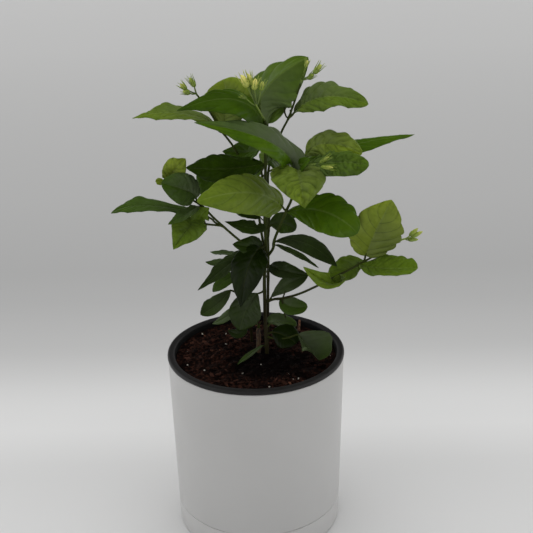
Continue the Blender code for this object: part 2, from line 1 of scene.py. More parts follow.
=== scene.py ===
"""Potted jasmine, dressed: planter on its water tray, black grower's pot, soil, leafy stems and bud sprays.

Lengths in the tables are millimetres, which MM turns into Blender's metres; settings are metres. The origin
is the centre of the tray's flat underside, +Z is up and -Y is the plant's front, where the camera stands.
"""

import math
import random

import bpy
import numpy as np
from mathutils import Matrix, Vector, noise


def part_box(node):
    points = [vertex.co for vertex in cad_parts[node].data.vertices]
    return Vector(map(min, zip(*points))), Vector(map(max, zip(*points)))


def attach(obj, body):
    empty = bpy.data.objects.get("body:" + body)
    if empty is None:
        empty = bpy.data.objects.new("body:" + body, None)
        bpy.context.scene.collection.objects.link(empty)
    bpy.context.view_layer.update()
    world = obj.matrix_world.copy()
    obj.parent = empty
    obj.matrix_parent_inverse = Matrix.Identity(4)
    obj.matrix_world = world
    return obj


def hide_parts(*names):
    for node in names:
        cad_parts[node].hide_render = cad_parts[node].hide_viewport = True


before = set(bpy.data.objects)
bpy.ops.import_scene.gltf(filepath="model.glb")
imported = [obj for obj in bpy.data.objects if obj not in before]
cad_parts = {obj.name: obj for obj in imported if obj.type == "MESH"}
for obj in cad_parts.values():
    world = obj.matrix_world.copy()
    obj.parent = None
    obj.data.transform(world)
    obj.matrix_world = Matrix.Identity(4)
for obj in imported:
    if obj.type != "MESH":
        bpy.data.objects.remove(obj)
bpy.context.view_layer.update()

bl_info = {
    "name": "Potted jasmine",
    "version": (1, 0, 0),
    "blender": (4, 5, 0),
    "location": "View3D > Sidebar > Jasmine",
    "description": "Leaves, stems, buds, soil and pots of a potted jasmine",
    "category": "Add Mesh",
}

MM = 0.001
TAU = math.tau
BODY = "root"
# Points closer than this, in metres, are one: on grids and tubes, and on what is turned.
MERGE = 2e-6
MERGE_TURNED = 1e-5

# Pots, as the solids have them.
POT_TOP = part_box("nursery_pot")[1]
HEIGHT = POT_TOP.z / MM
RIM_RADIUS = POT_TOP.x / MM
TRAY_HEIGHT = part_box("water_tray")[1].z / MM
BASE_RADIUS = 76.0
FLOOR = 3.0
FOOT_HEIGHT = 17.0
LIP_HEIGHT = 4.0
LIP_WIDTH = 6.5
GROWER_WALL = 1.6
GROWER_TOP_RADIUS = 73.0
GROWER_FLOOR_RADIUS = 60.0
GROWER_FLOOR_Z = 32.0
DRAIN_RADIUS = 5.0
DRAIN_RING = 40.0
DRAIN_COUNT = 4
TURN_STEPS = 144
# Room between pieces that follow each other.
GAP = 0.3

# Soil: its surface, how finely it is divided, the centre of the painted shade in front of the stems, how deep
# the stems' feet stand in it and where they leave it, and the grains of perlite that have a place of their
# own.
SOIL_EDGE_Z = 166.0
SOIL_MOUND = 3.0
SOIL_LUMP = 1.1
SOIL_SIDES = 200
SOIL_RINGS = 46
PAINTED_SHADE_SPOT = (9, -24)
FOOT_Z = 126.0
SOIL_LINE_Z = 172.0
PERLITE = [(-51, 44), (-63, 7), (-56, -7), (28, -43), (32, -50), (37, -49), (66, 5), (67, -7)]

# Paths of the stems that stand in the soil, from the soil's surface to the growing tip.
STEMS = {
    "centre": [(10, -5, SOIL_LINE_Z), (9.5, -1, 186.5), (9, 3, 200), (9, 6.5, 215), (9, 8.5, 235.5),
               (10, 8.5, 252), (11, 7.5, 266), (10.5, 6, 290), (11, 4, 312), (12, 2, 344), (12, 1, 360),
               (14, -1, 375), (13, -6, 381), (12, -10, 385)],
    "low_left": [(-4, 23, SOIL_LINE_Z), (-5, 22, 192), (-5, 19, 210), (-5, 16, 228), (-6, 12, 250),
                 (-6, 11, 264)],
    "back": [(11, 22, SOIL_LINE_Z), (12, 34, 210), (13, 38, 260), (11, 40, 300), (8, 40, 330)],
}

# Paths of the shoots that branch off those stems.
BRANCHES = {
    "right": ("centre", [(10.5, 8, 256), (17, 6, 266), (19, 3, 277), (29, -6, 305), (34, -10, 319),
                         (37, -14, 343), (38, -16, 347)]),
    "left": ("centre", [(10.5, 8, 261), (0, 2, 267), (-11, 0, 276), (-24, -4, 290), (-34, -6, 301),
                        (-42, -8, 311), (-57, -9, 322), (-70, -10, 332)]),
    "left_twig": ("left", [(-26, -4.5, 292), (-40, -8, 295), (-50, -12, 296)]),
    "top_right": ("centre", [(11, 8, 262), (14, 12, 285), (14, 13, 309), (14, 12, 331), (17, 11, 347),
                             (26, 9, 370), (32, 8, 382), (38, 6, 399), (42, 5, 411)]),
    "top_left": ("centre", [(10.5, 8, 258), (7, 15, 280), (3, 20, 306), (-5, 20, 334), (-15, 16, 356),
                            (-24, 14, 370), (-35, 11, 390), (-43, 9, 402)]),
    "low_right": ("centre", [(9, 6.5, 214.5), (17, 5, 218), (24, 2, 220), (39, -5, 227), (56, -12, 238),
                             (79, -14, 251), (95, -14, 260), (113, -12, 270), (126, -10, 277)]),
}

# Bare twigs and curled leafless petioles of each stem.
TWIGS = {
    "centre": [[(29, 8, 391), (29, 8, 386.5), (31, 8, 382.5), (34, 8, 384.5), (33.5, 8, 389)],
               [(-28.5, 13, 373.5), (-26.5, 13, 370.5), (-24, 13, 369.5), (-21, 13, 372)],
               [(27.5, 0, 228), (25, 1, 219.5), (25.5, 0, 210.5), (27.5, 0, 202)]],
}
TWIG_RADIUS = 0.7

# Radius of each stem and branch at its start and at its tip.
STEM_RADII = {
    "centre": (1.8, 1.0), "low_left": (1.3, 0.9), "back": (1.5, 0.9), "right": (1.3, 1.0), "left": (1.2, 0.8),
    "left_twig": (0.9, 0.9), "top_right": (1.2, 0.8), "top_left": (1.2, 0.8), "low_right": (1.2, 0.8),
}

# The cut stump, and the splinter of wood that stands in the soil.
STUMP_FOOT = (2.5, -1.5)
STUMP_TOP = (3.0, 1.0, 191.5)
STUMP_RADIUS = 2.1
STUB = [(40.5, 46, 162), (41, 47, 170), (41.5, 49, 176.5)]
FEET = [STUMP_FOOT, *(path[0][:2] for path in STEMS.values())]

# Leaves of each stem: height where the petiole leaves it, petiole length, middle and tip of the midrib,
# width, place of the widest part as a share of the length, the way the upper side faces, fold of the halves
# in degrees, depth of the waves along the edge, colour from 0, deep green darkened by painted shade, to 1,
# young yellow-green, how crinkled the blade is, how drawn out its tip is, degrees that each half bends down
# towards its edge, how far the lobes at its base reach back and how much painted grey sheen it has.
LEAVES = {"centre": [
    (376, 2, (12.5, 4, 406), (49, 15, 431), 52, 0.58, (-0.28, -0.81, 0.52),
     -32, 3.6, 0.53, 0.2, 0.2, -30, 0.1, 0.38),
    (371, 7, (-11, -14, 403), (-58, -26, 398), 37, 0.34, (0.2, -0.45, 0.87),
     -12, 1.6, 0.3, 0.1, 0.5, 35, 0.1, 0),
    (375, 5, (18, 24, 400), (19, 36, 414), 32, 0.45, (0.1, -0.5, 0.8), 8, 1, 0.5, 0.3, 0.4, 20, 0.1, 0.2),
    (344, 2, (-21, -7, 343), (-54, -14, 347), 33, 0.52, (-0.09, -0.5, 0.86),
     5, 1.4, 0.19, 0.25, 0.35, 35, 0.1, 0),
    (345, 3, (21, 19, 343), (29, 34, 337), 27, 0.43, (0.1, -0.89, 0.45), 4, 1, 0.3, 0.4, 0.4, 20, 0.1, 0.1),
    (359, 4, (0, 16, 351), (-25, 26, 349.5), 27, 0.5, (-0.21, -0.6, 0.78),
     11, 1.4, 0.36, 0.3, 0.4, 20, 0.1, 0.1),
    (318, 6, (-25, 14, 326), (-47, 22, 333), 42, 0.54, (-0.05, -0.9, 0.43),
     6, 1.4, 0.36, 0.3, 0.3, 20, 0.1, 0.1),
    (287, 7, (0, 0, 288), (-24, -2, 295), 16, 0.45, (-0.03, -0.51, 0.86),
     3, 1.2, 0.15, 0.3, 0.4, 20, 0.1, 0.1),
    (292, 5, (-4, 14, 295), (-16, 20, 296), 8, 0.48, (0, -0.59, 0.81), 6, 0.5, 0.15, 0.2, 0.4, 20, 0, 0),
    (284, 6, (26, 7, 289), (37, 5, 283), 20, 0.51, (-0.01, -0.78, 0.63), 9, 0.8, 0.2, 0.2, 0.1, 20, 0, 0.15),
    (270, 8, (-5, -13, 255), (-12, -20, 222), 31, 0.42, (-0.2, -0.85, 0.45),
     4, 1.0, 0.03, 0.15, 0.5, 40, 0.1, 0),
    (248, 7, (29, -8, 250), (49, -13, 248), 15, 0.37, (-0.16, -0.73, 0.66),
     9, 0.7, 0.12, 0.1, 0.45, 20, 0, 0.15),
    (226, 7, (-7, 1, 211), (-14, -6, 193.5), 30, 0.6, (-0.2, -0.94, 0.27),
     4, 0.8, 0.16, 0.2, 0.2, 30, 0, 0.3),
    (187, 6, (27, -6, 186.5), (36, -12, 181.5), 24, 0.52, (-0.01, -0.75, 0.65),
     -6, 0.5, 0.02, 0.05, 0, 30, 0, 0),
    (184, 31, (49, -17, 177), (56, -30, 174), 45, 0.5, (0.47, -0.56, 0.68),
     36, 0.8, 0.16, 0.1, 0, 2, 0, 0.34),
    (177, 5, (-5, -17, 174.5), (-16, -36, 174.5), 5.5, 0.55, (-0.08, -0.3, 0.95),
     10, 0.3, 0.2, 0.1, 0.5, 10, 0, 0.4),
    (192, 6, (22, 15, 191), (38, 18, 186), 19, 0.5, (-0.03, -0.54, 0.84),
     4, 0.5, 0.2, 0.1, 0.05, 30, 0, 0.32),
    (262, 4, (0, 0, 270), (-18, -2, 274), 20, 0.44, (0.02, -0.78, 0.62), 5, 0.8, 0.15, 0.2, 0.4, 20, 0, 0.1),
], "right": [
    (341, 2, (14.5, -27, 371.5), (-44, -34, 390), 29, 0.38, (-0.35, -0.5, 0.79),
     2, 1.8, 0.45, 0.2, 0.35, 25, 0, 0.55),
    (341, 15, (62, -14, 365), (91, -22, 358), 27, 0.62, (-0.02, -0.7, 0.71),
     -5, 2.5, 0.82, 0.8, 0.1, 20, 0, 0.4),
    (343, 9, (87, 10, 357), (141, 26, 361), 24, 0.46, (-0.33, -0.35, 0.88),
     -14, 1.5, 0.44, 0.3, 0.85, 20, 0.1, 0),
    (340, 6, (66, -28, 352.5), (95, -39, 353), 26, 0.64, (0, -0.7, 0.71), -6, 2.5, 0.52, 1, 0.1, 30, 0, 0.3),
    (343, 7, (39.5, -34, 339.5), (43, -50, 322), 47, 0.42, (0.12, -0.96, 0.25),
     8, 2, 0.78, 0.8, 0.6, 30, 0.5, 0.34),
    (305, 6, (-2, -32, 330), (-44, -46, 328), 37, 0.45, (-0.01, -0.8, 0.6),
     -13, 2.2, 0.76, 0.25, 0.2, 20, 0.25, 0.25),
    (303, 2, (60, -27, 310.5), (87, -38, 295), 38, 0.6, (0.04, -0.72, 0.69),
     -4, 2.2, 0.44, 0.2, 0.12, 20, 0.1, 0),
    (339, 2, (42, -25, 351), (48, -29, 357), 11, 0.45, (-0.1, -0.75, 0.65),
     6, 0.8, 0.4, 0.3, 0.3, 20, 0.1, 0.05),
    (273, 2, (45, -11, 277), (71, -26, 261), 19, 0.58, (0, -0.51, 0.86),
     -6, 0.6, 0.12, 0.1, 0.45, 25, 0, 0.2),
    (270, 2, (40, 2, 260), (57, -4, 251), 8, 0.4, (-0.17, -0.15, 0.97), 15, 0.5, 0.18, 0.1, 0.6, 10, 0, 0.2),
], "left": [
    (291, 14, (-86, -10, 313), (-119, -14, 308.5), 21, 0.55, (-0.2, -0.2, 0.96),
     4, 1.4, 0.33, 0.3, 0.35, 30, 0.1, 0.25),
    (311, 6, (-56, -23, 309), (-70, -29, 303), 13, 0.42, (-0.22, -0.5, 0.84),
     12, 1, 0.32, 0.2, 0.4, 10, 0, 0.35),
    (313, 8, (-54, -17, 328), (-74, -26, 338), 28, 0.58, (0.18, -0.86, 0.48),
     8, 0.8, 0.3, 0.35, 0.1, 30, 0.1, 0.4),
    (331, 5, (-65, -12, 344), (-54, -14, 355), 20, 0.55, (0.35, -0.92, 0.1),
     8, 3, 1.0, 0.6, 0.35, 20, 0.2, 0.25),
    (331, 3, (-77, -12, 335), (-80, -13, 336), 6, 0.5, (0, -0.8, 0.5), 5, 0.3, 0.95, 0.3, 0.6, 10, 0, 0.1),
], "left_twig": [
    (296, 5, (-55, -22, 295), (-66, -38, 284), 32, 0.4, (-0.09, -0.84, 0.53),
     18, 1.8, 0.64, 0.3, 0.5, 25, 0.3, 0.2),
    (295, 3, (-44, -14, 304), (-36, -14, 312), 16, 0.5, (0, -0.9, 0.3), 5, 0.5, 0.65, 0.2, 0.5, 10, 0, 0.1),
], "top_right": [
    (382, 7, (63, 5, 399.5), (98, 2, 393.5), 33, 0.54, (-0.29, -0.46, 0.84),
     6, 3, 0.67, 0.5, 0.25, 20, 0.2, 0.41),
], "top_left": [
    (369, 10, (-60, 10, 387), (-98, 5, 385), 29, 0.49, (0.01, -0.16, 0.99),
     4, 1.6, 0.74, 0.4, 0.55, 10, 0.1, 0.35),
    (370, 5, (-19, 15, 396), (-22, 20, 413), 43, 0.56, (-0.12, -0.93, 0.34),
     6, 1.4, 0.84, 0.15, 0, 30, 0.2, 0.3),
    (370, 5, (-22, 45, 383), (-27, 70, 384), 26, 0.45, (0, 0.1, 1), 8, 1.5, 0.6, 0.4, 0.5, 20, 0.1, 0.2),
], "low_right": [
    (260, 6, (105, -16, 290), (117, -18, 317), 46, 0.5, (0.04, -0.98, -0.18),
     10, 3.2, 0.96, 0.28, 0.4, 20, 0.3, 0.35),
    (257, 2, (112, -28, 258.5), (138, -38, 263), 36, 0.6, (-0.1, -0.16, 0.97),
     12, 1.4, 0.62, 0.35, 0, 15, 0.3, 0.12),
    (258, 3, (90, -5, 253), (65, -1, 244), 22, 0.72, (0.03, -0.74, 0.67),
     8, 1.6, 0.62, 0.5, 0.05, 20, 0.1, 0.2),
    (249, 2, (69, -26, 243), (42, -35, 265), 23, 0.39, (-0.66, -0.35, 0.66),
     24, 1, 0.7, 0.3, 0.3, 20, 0.1, 0.15),
    (216, 5, (31, 3, 234), (48, 2, 242), 16, 0.6, (-0.18, -0.75, 0.63), 8, 0.6, 0.16, 0.2, 0.3, 20, 0, 0.32),
    (219, 2, (32, 0, 213), (47, -4, 214), 19, 0.55, (-0.17, -0.54, 0.82), 4, 0.6, 0.3, 0.1, 0, 30, 0, 0.4),
], "low_left": [
    (262, 2, (-25, -6, 254), (-49, -16, 237), 17, 0.36, (-0.34, -0.59, 0.73),
     6, 1.2, 0.14, 0.15, 0.5, 20, 0, 0.2),
    (252, 5, (-29, 18, 249), (-44, 26, 247), 9, 0.5, (0, -0.4, 0.8), 5, 0.5, 0.22, 0.1, 0.4, 10, 0, 0.35),
    (257, 5, (-26, 26, 255), (-40, 38, 252), 10, 0.5, (0, -0.1, 1), 5, 0.5, 0.25, 0.1, 0.4, 10, 0, 0.2),
    (241, 5, (-26, 4, 237), (-37, 1, 228), 12, 0.5, (-0.04, -0.69, 0.72), 6, 0.6, 0.3, 0.1, 0.3, 20, 0, 0.2),
    (222, 21, (-35, -4, 217), (-48, -10, 211), 18, 0.55, (-0.06, -0.5, 0.86),
     14, 0.6, 0.16, 0.05, 0.2, 20, 0, 0.3),
    (212, 7, (-25, 15, 198), (-40, 24, 186), 10, 0.47, (-0.06, -0.65, 0.76),
     4, 0.6, 0.25, 0.1, 0.4, 20, 0, 0.3),
    (191, 8, (-14, 4, 185.5), (-25, 10, 186.5), 10, 0.53, (-0.09, -0.66, 0.74),
     8, 0.5, 0.06, 0.1, 0.3, 20, 0, 0.1),
], "back": [
    (327, 6, (22, 62, 338), (25, 92, 337), 27, 0.45, (0.1, 0.1, 1), 8, 1.8, 0.6, 0.5, 0.4, 20, 0.2, 0.2),
    (318, 6, (-20, 66, 326), (-34, 94, 320), 36, 0.45, (-0.2, 0.2, 0.9), 8, 1.8, 0.5, 0.4, 0.4, 20, 0.2, 0.2),
    (292, 6, (-13, 68, 299), (-28, 96, 292), 38, 0.45, (-0.3, 0.3, 0.9),
     8, 1.6, 0.35, 0.3, 0.4, 20, 0.2, 0.2),
    (274, 8, (60, 62, 281), (76, 90, 274), 34, 0.45, (0.3, 0.4, 0.9), 8, 1.6, 0.3, 0.3, 0.4, 20, 0.2, 0.2),
    (322, 8, (68, 60, 336), (88, 86, 331), 34, 0.45, (0.2, 0.3, 0.9), 8, 1.8, 0.6, 0.4, 0.4, 20, 0.2, 0.2),
    (226, 6, (-4, 58, 224), (-8, 84, 216), 26, 0.45, (-0.2, 0.4, 0.9), 8, 1.5, 0.25, 0.2, 0.4, 20, 0.1, 0.2),
]}
PETIOLE_RADIUS = 0.9
# Blades of more square millimetres than this get the finer grid.
BROAD_LEAF = 900
FINE_GRID = (40, 64)
PLAIN_GRID = (20, 32)

# Sprays of buds: the stem each grows on, its stalk's path past that stem's tip, then each bud's base, tip,
# width and colour from 0, green, to 1, yellow.
SPRAYS = {
    "centre": ([(10, -15, 390), (5, -18, 400)],
               [((-1, -17, 414), (-6, -18, 424), 7.0, 0.95), ((1.5, -15, 415), (-0.5, -16, 424.5), 5.5, 0.85),
                ((4, -18, 412), (5.5, -19, 421), 6.0, 0.9), ((9.5, -17, 411), (11, -18, 418.5), 5.5, 0.55),
                ((-2, -19, 405), (-7, -20, 408), 3.0, 0.3)]),
    "top_right": ([(43, 5, 415)],
                  [((53, 2, 420), (59, 1, 427.5), 5.4, 0.5), ((48, 3, 415.5), (53, 2, 419.5), 4.6, 0.35),
                   ((46, -2, 426), (47.5, -4, 432), 3.4, 0.7)]),
    "top_left": ([(-44, 8.5, 404)],
                 [((-45, 7, 410), (-49, 6, 418), 5.2, 0.4), ((-52, 7, 408), (-57, 6, 413), 5.0, 0.6),
                  ((-49, 5, 405), (-55, 4, 407.5), 4.8, 0.45)]),
    "right": ([(41, -24, 351), (47, -28, 352), (54, -31, 353)],
              [((56, -33, 355), (63, -38, 361), 3.2, 0.5), ((57, -35, 352), (66, -42, 353), 3.8, 0.6)]),
    "low_right": ([(131, -10, 279)],
                  [((134, -11, 282), (141, -12, 289), 4.6, 0.5), ((136, -11, 281), (145, -12, 286), 4.6, 0.5),
                   ((133, -10, 278), (142, -10, 278), 4.2, 0.4)]),
}
# Teeth of each spray's buds and the colour of its stalks, where they differ from the rest.
SPRAY_LOOKS = {"centre": (7, 0.1), "low_right": (0, 0.3), "right": (6, 0.02)}
BUD_STALK_RADIUS = 0.7
SPRAY_SOCKET = 2.0


def colour_setting(name, description, *default):
    return bpy.props.FloatVectorProperty(name=name, description=description, default=default, subtype="COLOR")


def number_setting(name, description, default, **kind):
    """A whole number where the default is whole."""
    setting = bpy.props.IntProperty if isinstance(default, int) else bpy.props.FloatProperty
    return setting(name=name, description=description, default=default, **kind)


class Look(bpy.types.PropertyGroup):
    """Finish of the plant."""

    blade: number_setting("Blade", "Thickness of a leaf", 0.00045, unit="LENGTH")
    veins: number_setting("Veins", "Pairs of side veins on a leaf", 6)
    deep: colour_setting("Deep green", "Colour of the oldest leaves", 0.013, 0.026, 0.0016)
    green: colour_setting("Green", "Colour of full-grown leaves", 0.050, 0.106, 0.003)
    fresh: colour_setting("Fresh green", "Colour of the upper leaves", 0.108, 0.176, 0.008)
    young: colour_setting("Young green", "Colour of new leaves", 0.23, 0.30, 0.02)
    bud_green: colour_setting("Bud green", "Colour of green buds", 0.24, 0.33, 0.04)
    bud_yellow: colour_setting("Bud yellow", "Colour of ripe buds", 0.80, 0.74, 0.20)
    # The woody brown is the stems' own; its darkness is partly painted shade on the low stems under the
    # foliage.
    bark: colour_setting("Bark", "Colour of woody stems", 0.022, 0.019, 0.006)


class Ground(bpy.types.PropertyGroup):
    """Soil in the pot."""

    dark: colour_setting("Peat", "Colour of the damp peat", 0.0026, 0.0014, 0.0013)
    fibre: colour_setting("Fibre", "Colour of the coir chips", 0.060, 0.024, 0.016)
    perlite: colour_setting("Perlite", "Colour of the perlite", 0.55, 0.52, 0.46)
    chips: number_setting("Chips", "Number of coir chips", 480)
    grains: number_setting("Grains", "Number of loose perlite grains", 9)


class Pots(bpy.types.PropertyGroup):
    """Planter, tray and grower's pot."""

    wall: number_setting("Wall", "Wall of the planter", 0.003, unit="LENGTH")
    round_edge: number_setting("Edge", "Radius of the moulded edges", 0.0006, unit="LENGTH")
    white: colour_setting("White", "Colour of the planter", 0.535, 0.532, 0.525)
    black: colour_setting("Black", "Colour of the grower's pot", 0.0155, 0.0150, 0.0148)


class Studio(bpy.types.PropertyGroup):
    """Floor, light and camera."""

    sun: number_setting("Sun", "Strength of the soft overhead light", 2.3)
    sky: number_setting("Sky", "Strength of the light from all round", 0.85)
    pitch: number_setting("Pitch", "Camera's tilt below level", math.radians(22.02), subtype="ANGLE")
    roll: number_setting("Roll", "Camera's turn about its own axis", math.radians(1.136), subtype="ANGLE")
    lens: number_setting("Lens", "Focal length in mm on a 36 mm sensor", 67.31)


class Value:
    """A number or vector that varies over a surface. Sums on it add Math nodes."""

    def __init__(self, finish, socket):
        self.finish = finish
        self.socket = socket

    def maths(self, operation, *inputs):
        return self.finish.node("ShaderNodeMath", {"operation": operation}, inputs)

    def __add__(self, other):
        return self.maths("ADD", self, other)

    def __sub__(self, other):
        return self.maths("SUBTRACT", self, other)

    def __rsub__(self, other):
        return self.maths("SUBTRACT", other, self)

    def __mul__(self, other):
        return self.maths("MULTIPLY", self, other)

    def __truediv__(self, other):
        return self.maths("DIVIDE", self, other)

    def __pow__(self, other):
        return self.maths("POWER", self, other)

    def __abs__(self):
        return self.maths("ABSOLUTE", self)

    __radd__ = __add__
    __rmul__ = __mul__

    def fraction(self):
        return self.maths("FRACT", self)

    def step(self, low, high):
        """0 below low and 1 above high, with a smooth rise between them."""
        settings = {"interpolation_type": "SMOOTHSTEP"}
        return self.finish.node("ShaderNodeMapRange", settings, (self, low, high))


class Pattern:
    """A node tree written as sums on what its surface knows."""

    def __init__(self, owner):
        owner.use_nodes = True
        self.owner = owner
        self.tree = owner.node_tree

    def feed(self, socket, value):
        """Links a value to a socket, or sets the socket to a number, a vector or a colour."""
        if isinstance(value, Value):
            self.tree.links.new(value.socket, socket)
        elif value is not None:
            socket.default_value = (*value, 1.0) if socket.type == "RGBA" else value

    def node(self, kind, settings=None, inputs=(), output=0, **named):
        """Adds a node: its settings or a ramp's stops first, then the values or links of its sockets."""
        made = self.tree.nodes.new(kind)
        for setting, value in (settings or {}).items():
            if setting == "stops":
                ladder = made.color_ramp.elements
                while len(ladder) < len(value):
                    ladder.new(0.5)
                for element, (at, colour) in zip(ladder, value):
                    element.position = at
                    element.color = (*colour, 1.0)
            else:
                setattr(made, setting, value)
        for key, value in [*enumerate(inputs), *named.items()]:
            self.feed(made.inputs[key], value)
        return Value(self, made.outputs[output])

    def place(self):
        return self.node("ShaderNodeTexCoord", output="Object")

    def split(self, spot):
        """X, Y and Z of a place."""
        parts = self.node("ShaderNodeSeparateXYZ", None, (spot,))
        return [Value(self, socket) for socket in parts.socket.node.outputs]

    def uv(self):
        """Across and along a leaf or round and along a stalk, each from 0 to 1."""
        return self.split(self.node("ShaderNodeTexCoord", output="UV"))[:2]

    def attribute(self, name):
        return self.node("ShaderNodeAttribute", {"attribute_name": name}, output="Fac")

    def noise(self, scale, detail=3.0, rough=0.55, spot=None, warp=0.0):
        return self.node("ShaderNodeTexNoise", None, Vector=spot or self.place(), Scale=scale, Detail=detail,
                         Roughness=rough, Distortion=warp)

    def cells(self, scale):
        return self.node("ShaderNodeTexVoronoi", None, Vector=self.place(), Scale=scale)

    def stretch(self, scale):
        """Places drawn out along the axes."""
        return self.node("ShaderNodeVectorMath", {"operation": "MULTIPLY"}, (self.place(), scale))

    def mix(self, share, first, second):
        """The first colour where the share is 0, the second where it is 1."""
        return self.node("ShaderNodeMix", {"data_type": "RGBA"}, (share, *[None] * 5, first, second), 2)

    def ramp(self, value, *stops):
        """A colour for each value: each stop is (value, colour)."""
        return self.node("ShaderNodeValToRGB", {"stops": stops}, (value,))

    def bump(self, height, depth):
        """Relief of a depth in millimetres."""
        return self.node("ShaderNodeBump", None, Distance=depth * MM, Height=height)


class Finish(Pattern):
    """One procedural material with its steady values set on the shader."""

    def __init__(self, name, **steady):
        super().__init__(bpy.data.materials.new(name))
        self.shader = self.tree.nodes["Principled BSDF"]
        self.finish(**steady)

    def finish(self, **values):
        for socket, value in values.items():
            self.feed(self.shader.inputs[socket.replace("_", " ")], value)
        return self.owner


def dimmed(colour, share):
    """A darker colour, or a brighter one for a share over 1."""
    return tuple(c * share for c in colour)


def unit(vector):
    """A direction, or a row of them, of length 1."""
    vector = np.asarray(vector, float)
    return vector / np.linalg.norm(vector, axis=-1, keepdims=True)


def clear_selection():
    """Leaves nothing selected, as the next operator acts on all that is."""
    if bpy.context.object and bpy.context.object.mode != "OBJECT":
        bpy.ops.object.mode_set(mode="OBJECT")
    bpy.ops.object.select_all(action="DESELECT")


def choose(*things):
    """Selects these objects, the first of them active."""
    clear_selection()
    for thing in things:
        thing.select_set(True)
    bpy.context.view_layer.objects.active = things[0]


def added(operator, **settings):
    """The object that an operator adds, the only one then selected."""
    clear_selection()
    operator(**settings)
    return bpy.context.object


def tagged(piece, **values):
    """Writes one number for the piece, or one for each point, into each named attribute for its material."""
    for name, value in values.items():
        layer = piece.data.attributes.new(name, "FLOAT", "POINT")
        layer.data.foreach_set("value", np.zeros(len(piece.data.vertices), np.float32) + np.float32(value))
    return piece


def sheet(columns, rows, shape):
    """A grid whose point (u, v), across and along from 0 to 1, lies at shape(u, v) in millimetres."""
    piece = added(bpy.ops.mesh.primitive_grid_add, x_subdivisions=columns, y_subdivisions=rows, size=1)
    flat = np.empty(len(piece.data.vertices) * 3)
    piece.data.vertices.foreach_get("co", flat)
    spots = flat.reshape(-1, 3) + 0.5
    piece.data.vertices.foreach_set("co", (shape(spots[:, 0], spots[:, 1]) * MM).ravel())
    piece.data.update()
    return piece


def joined(name, pieces, *finishes):
    """One object of several, its coinciding points merged and its materials set."""
    choose(*pieces)
    if len(pieces) > 1:
        bpy.ops.object.join()
    piece = bpy.context.object
    piece.name = piece.data.name = name
    bpy.ops.object.mode_set(mode="EDIT")
    bpy.ops.mesh.select_all(action="SELECT")
    bpy.ops.mesh.remove_doubles(threshold=MERGE)
    bpy.ops.object.mode_set(mode="OBJECT")
    for finish in finishes:
        piece.data.materials.append(finish)
    return piece


def modify(piece, kind, **settings):
    """Adds a modifier and applies it."""
    choose(piece)
    bpy.ops.object.modifier_add(type=kind)
    step = piece.modifiers[-1]
    for setting, value in settings.items():
        setattr(step, setting, value)
    bpy.ops.object.modifier_apply(modifier=step.name)


def smooth(piece, angle=None):
    """Smooth shading, over every edge or only over those flatter than an angle in degrees."""
    choose(piece)
    if angle:
        bpy.ops.object.shade_smooth_by_angle(angle=math.radians(angle))
    else:
        bpy.ops.object.shade_smooth()


def seated(piece, slot, *nodes):
    """Lets a piece move with the plant's one body, in the place of the solids that it stands for."""
    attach(piece, BODY)
    if nodes:
        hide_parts(*nodes)


def smooth_path(points, lead=None, steps=6):
    """Points along a smooth curve through the given ones, entered from the lead point."""
    knots = [np.array(p, float) for p in points]
    before = np.array(lead, float) if lead is not None else 2 * knots[0] - knots[1]
    knots = [before] + knots + [2 * knots[-1] - knots[-2]]
    path = []
    for p0, p1, p2, p3 in zip(knots, knots[1:], knots[2:], knots[3:]):
        for step in range(steps):
            t = step / steps
            path.append(0.5 * (2 * p1 + (p2 - p0) * t + (2 * p0 - 5 * p1 + 4 * p2 - p3) * t ** 2
                               + (3 * p1 - p0 - 3 * p2 + p3) * t ** 3))
    path.append(knots[-2])
    return np.array(path)


def shoot_path(name):
    """Path of a stem, with its upright foot in the soil, or of a branch."""
    if name in BRANCHES:
        return smooth_path(BRANCHES[name][1])
    x, y, _ = STEMS[name][0]
    foot = np.array((x, y, FOOT_Z))
    return np.vstack([foot[None], smooth_path(STEMS[name], lead=foot)])


def along_stem(path, height):
    """The point of a stem's path at a height."""
    for low, high in zip(path, path[1:]):
        if min(low[2], high[2]) <= height <= max(low[2], high[2]) and low[2] != high[2]:
            return low + (high - low) * (height - low[2]) / (high[2] - low[2])
    return path[-1].copy()


def round_about(path):
    """Two directions square to a path at each of its points, carried along it without twist."""
    along = unit(np.gradient(path, axis=0))
    across = [unit(Vector(along[0]).orthogonal())]
    for way in along[1:]:
        across.append(unit(across[-1] - way * np.dot(across[-1], way)))
    return np.array(across), np.cross(along, across)


def stalk(path, radii, sides=10):
    """A round closed solid along a path, with a radius at each of its points."""
    path = np.asarray(path, float)
    across, over = round_about(path)
    ends = [0, *range(len(path)), len(path) - 1]
    path, across, over = path[ends], across[ends], over[ends]
    radii = np.array([0, *radii, 0])

    def shape(u, v):
        row = np.rint(v * (len(path) - 1)).astype(int)
        turn = np.rint(u * sides) % sides * TAU / sides
        out = across[row] * np.cos(turn)[:, None] + over[row] * np.sin(turn)[:, None]
        return path[row] + out * radii[row, None]

    return sheet(sides, len(path) - 1, shape)


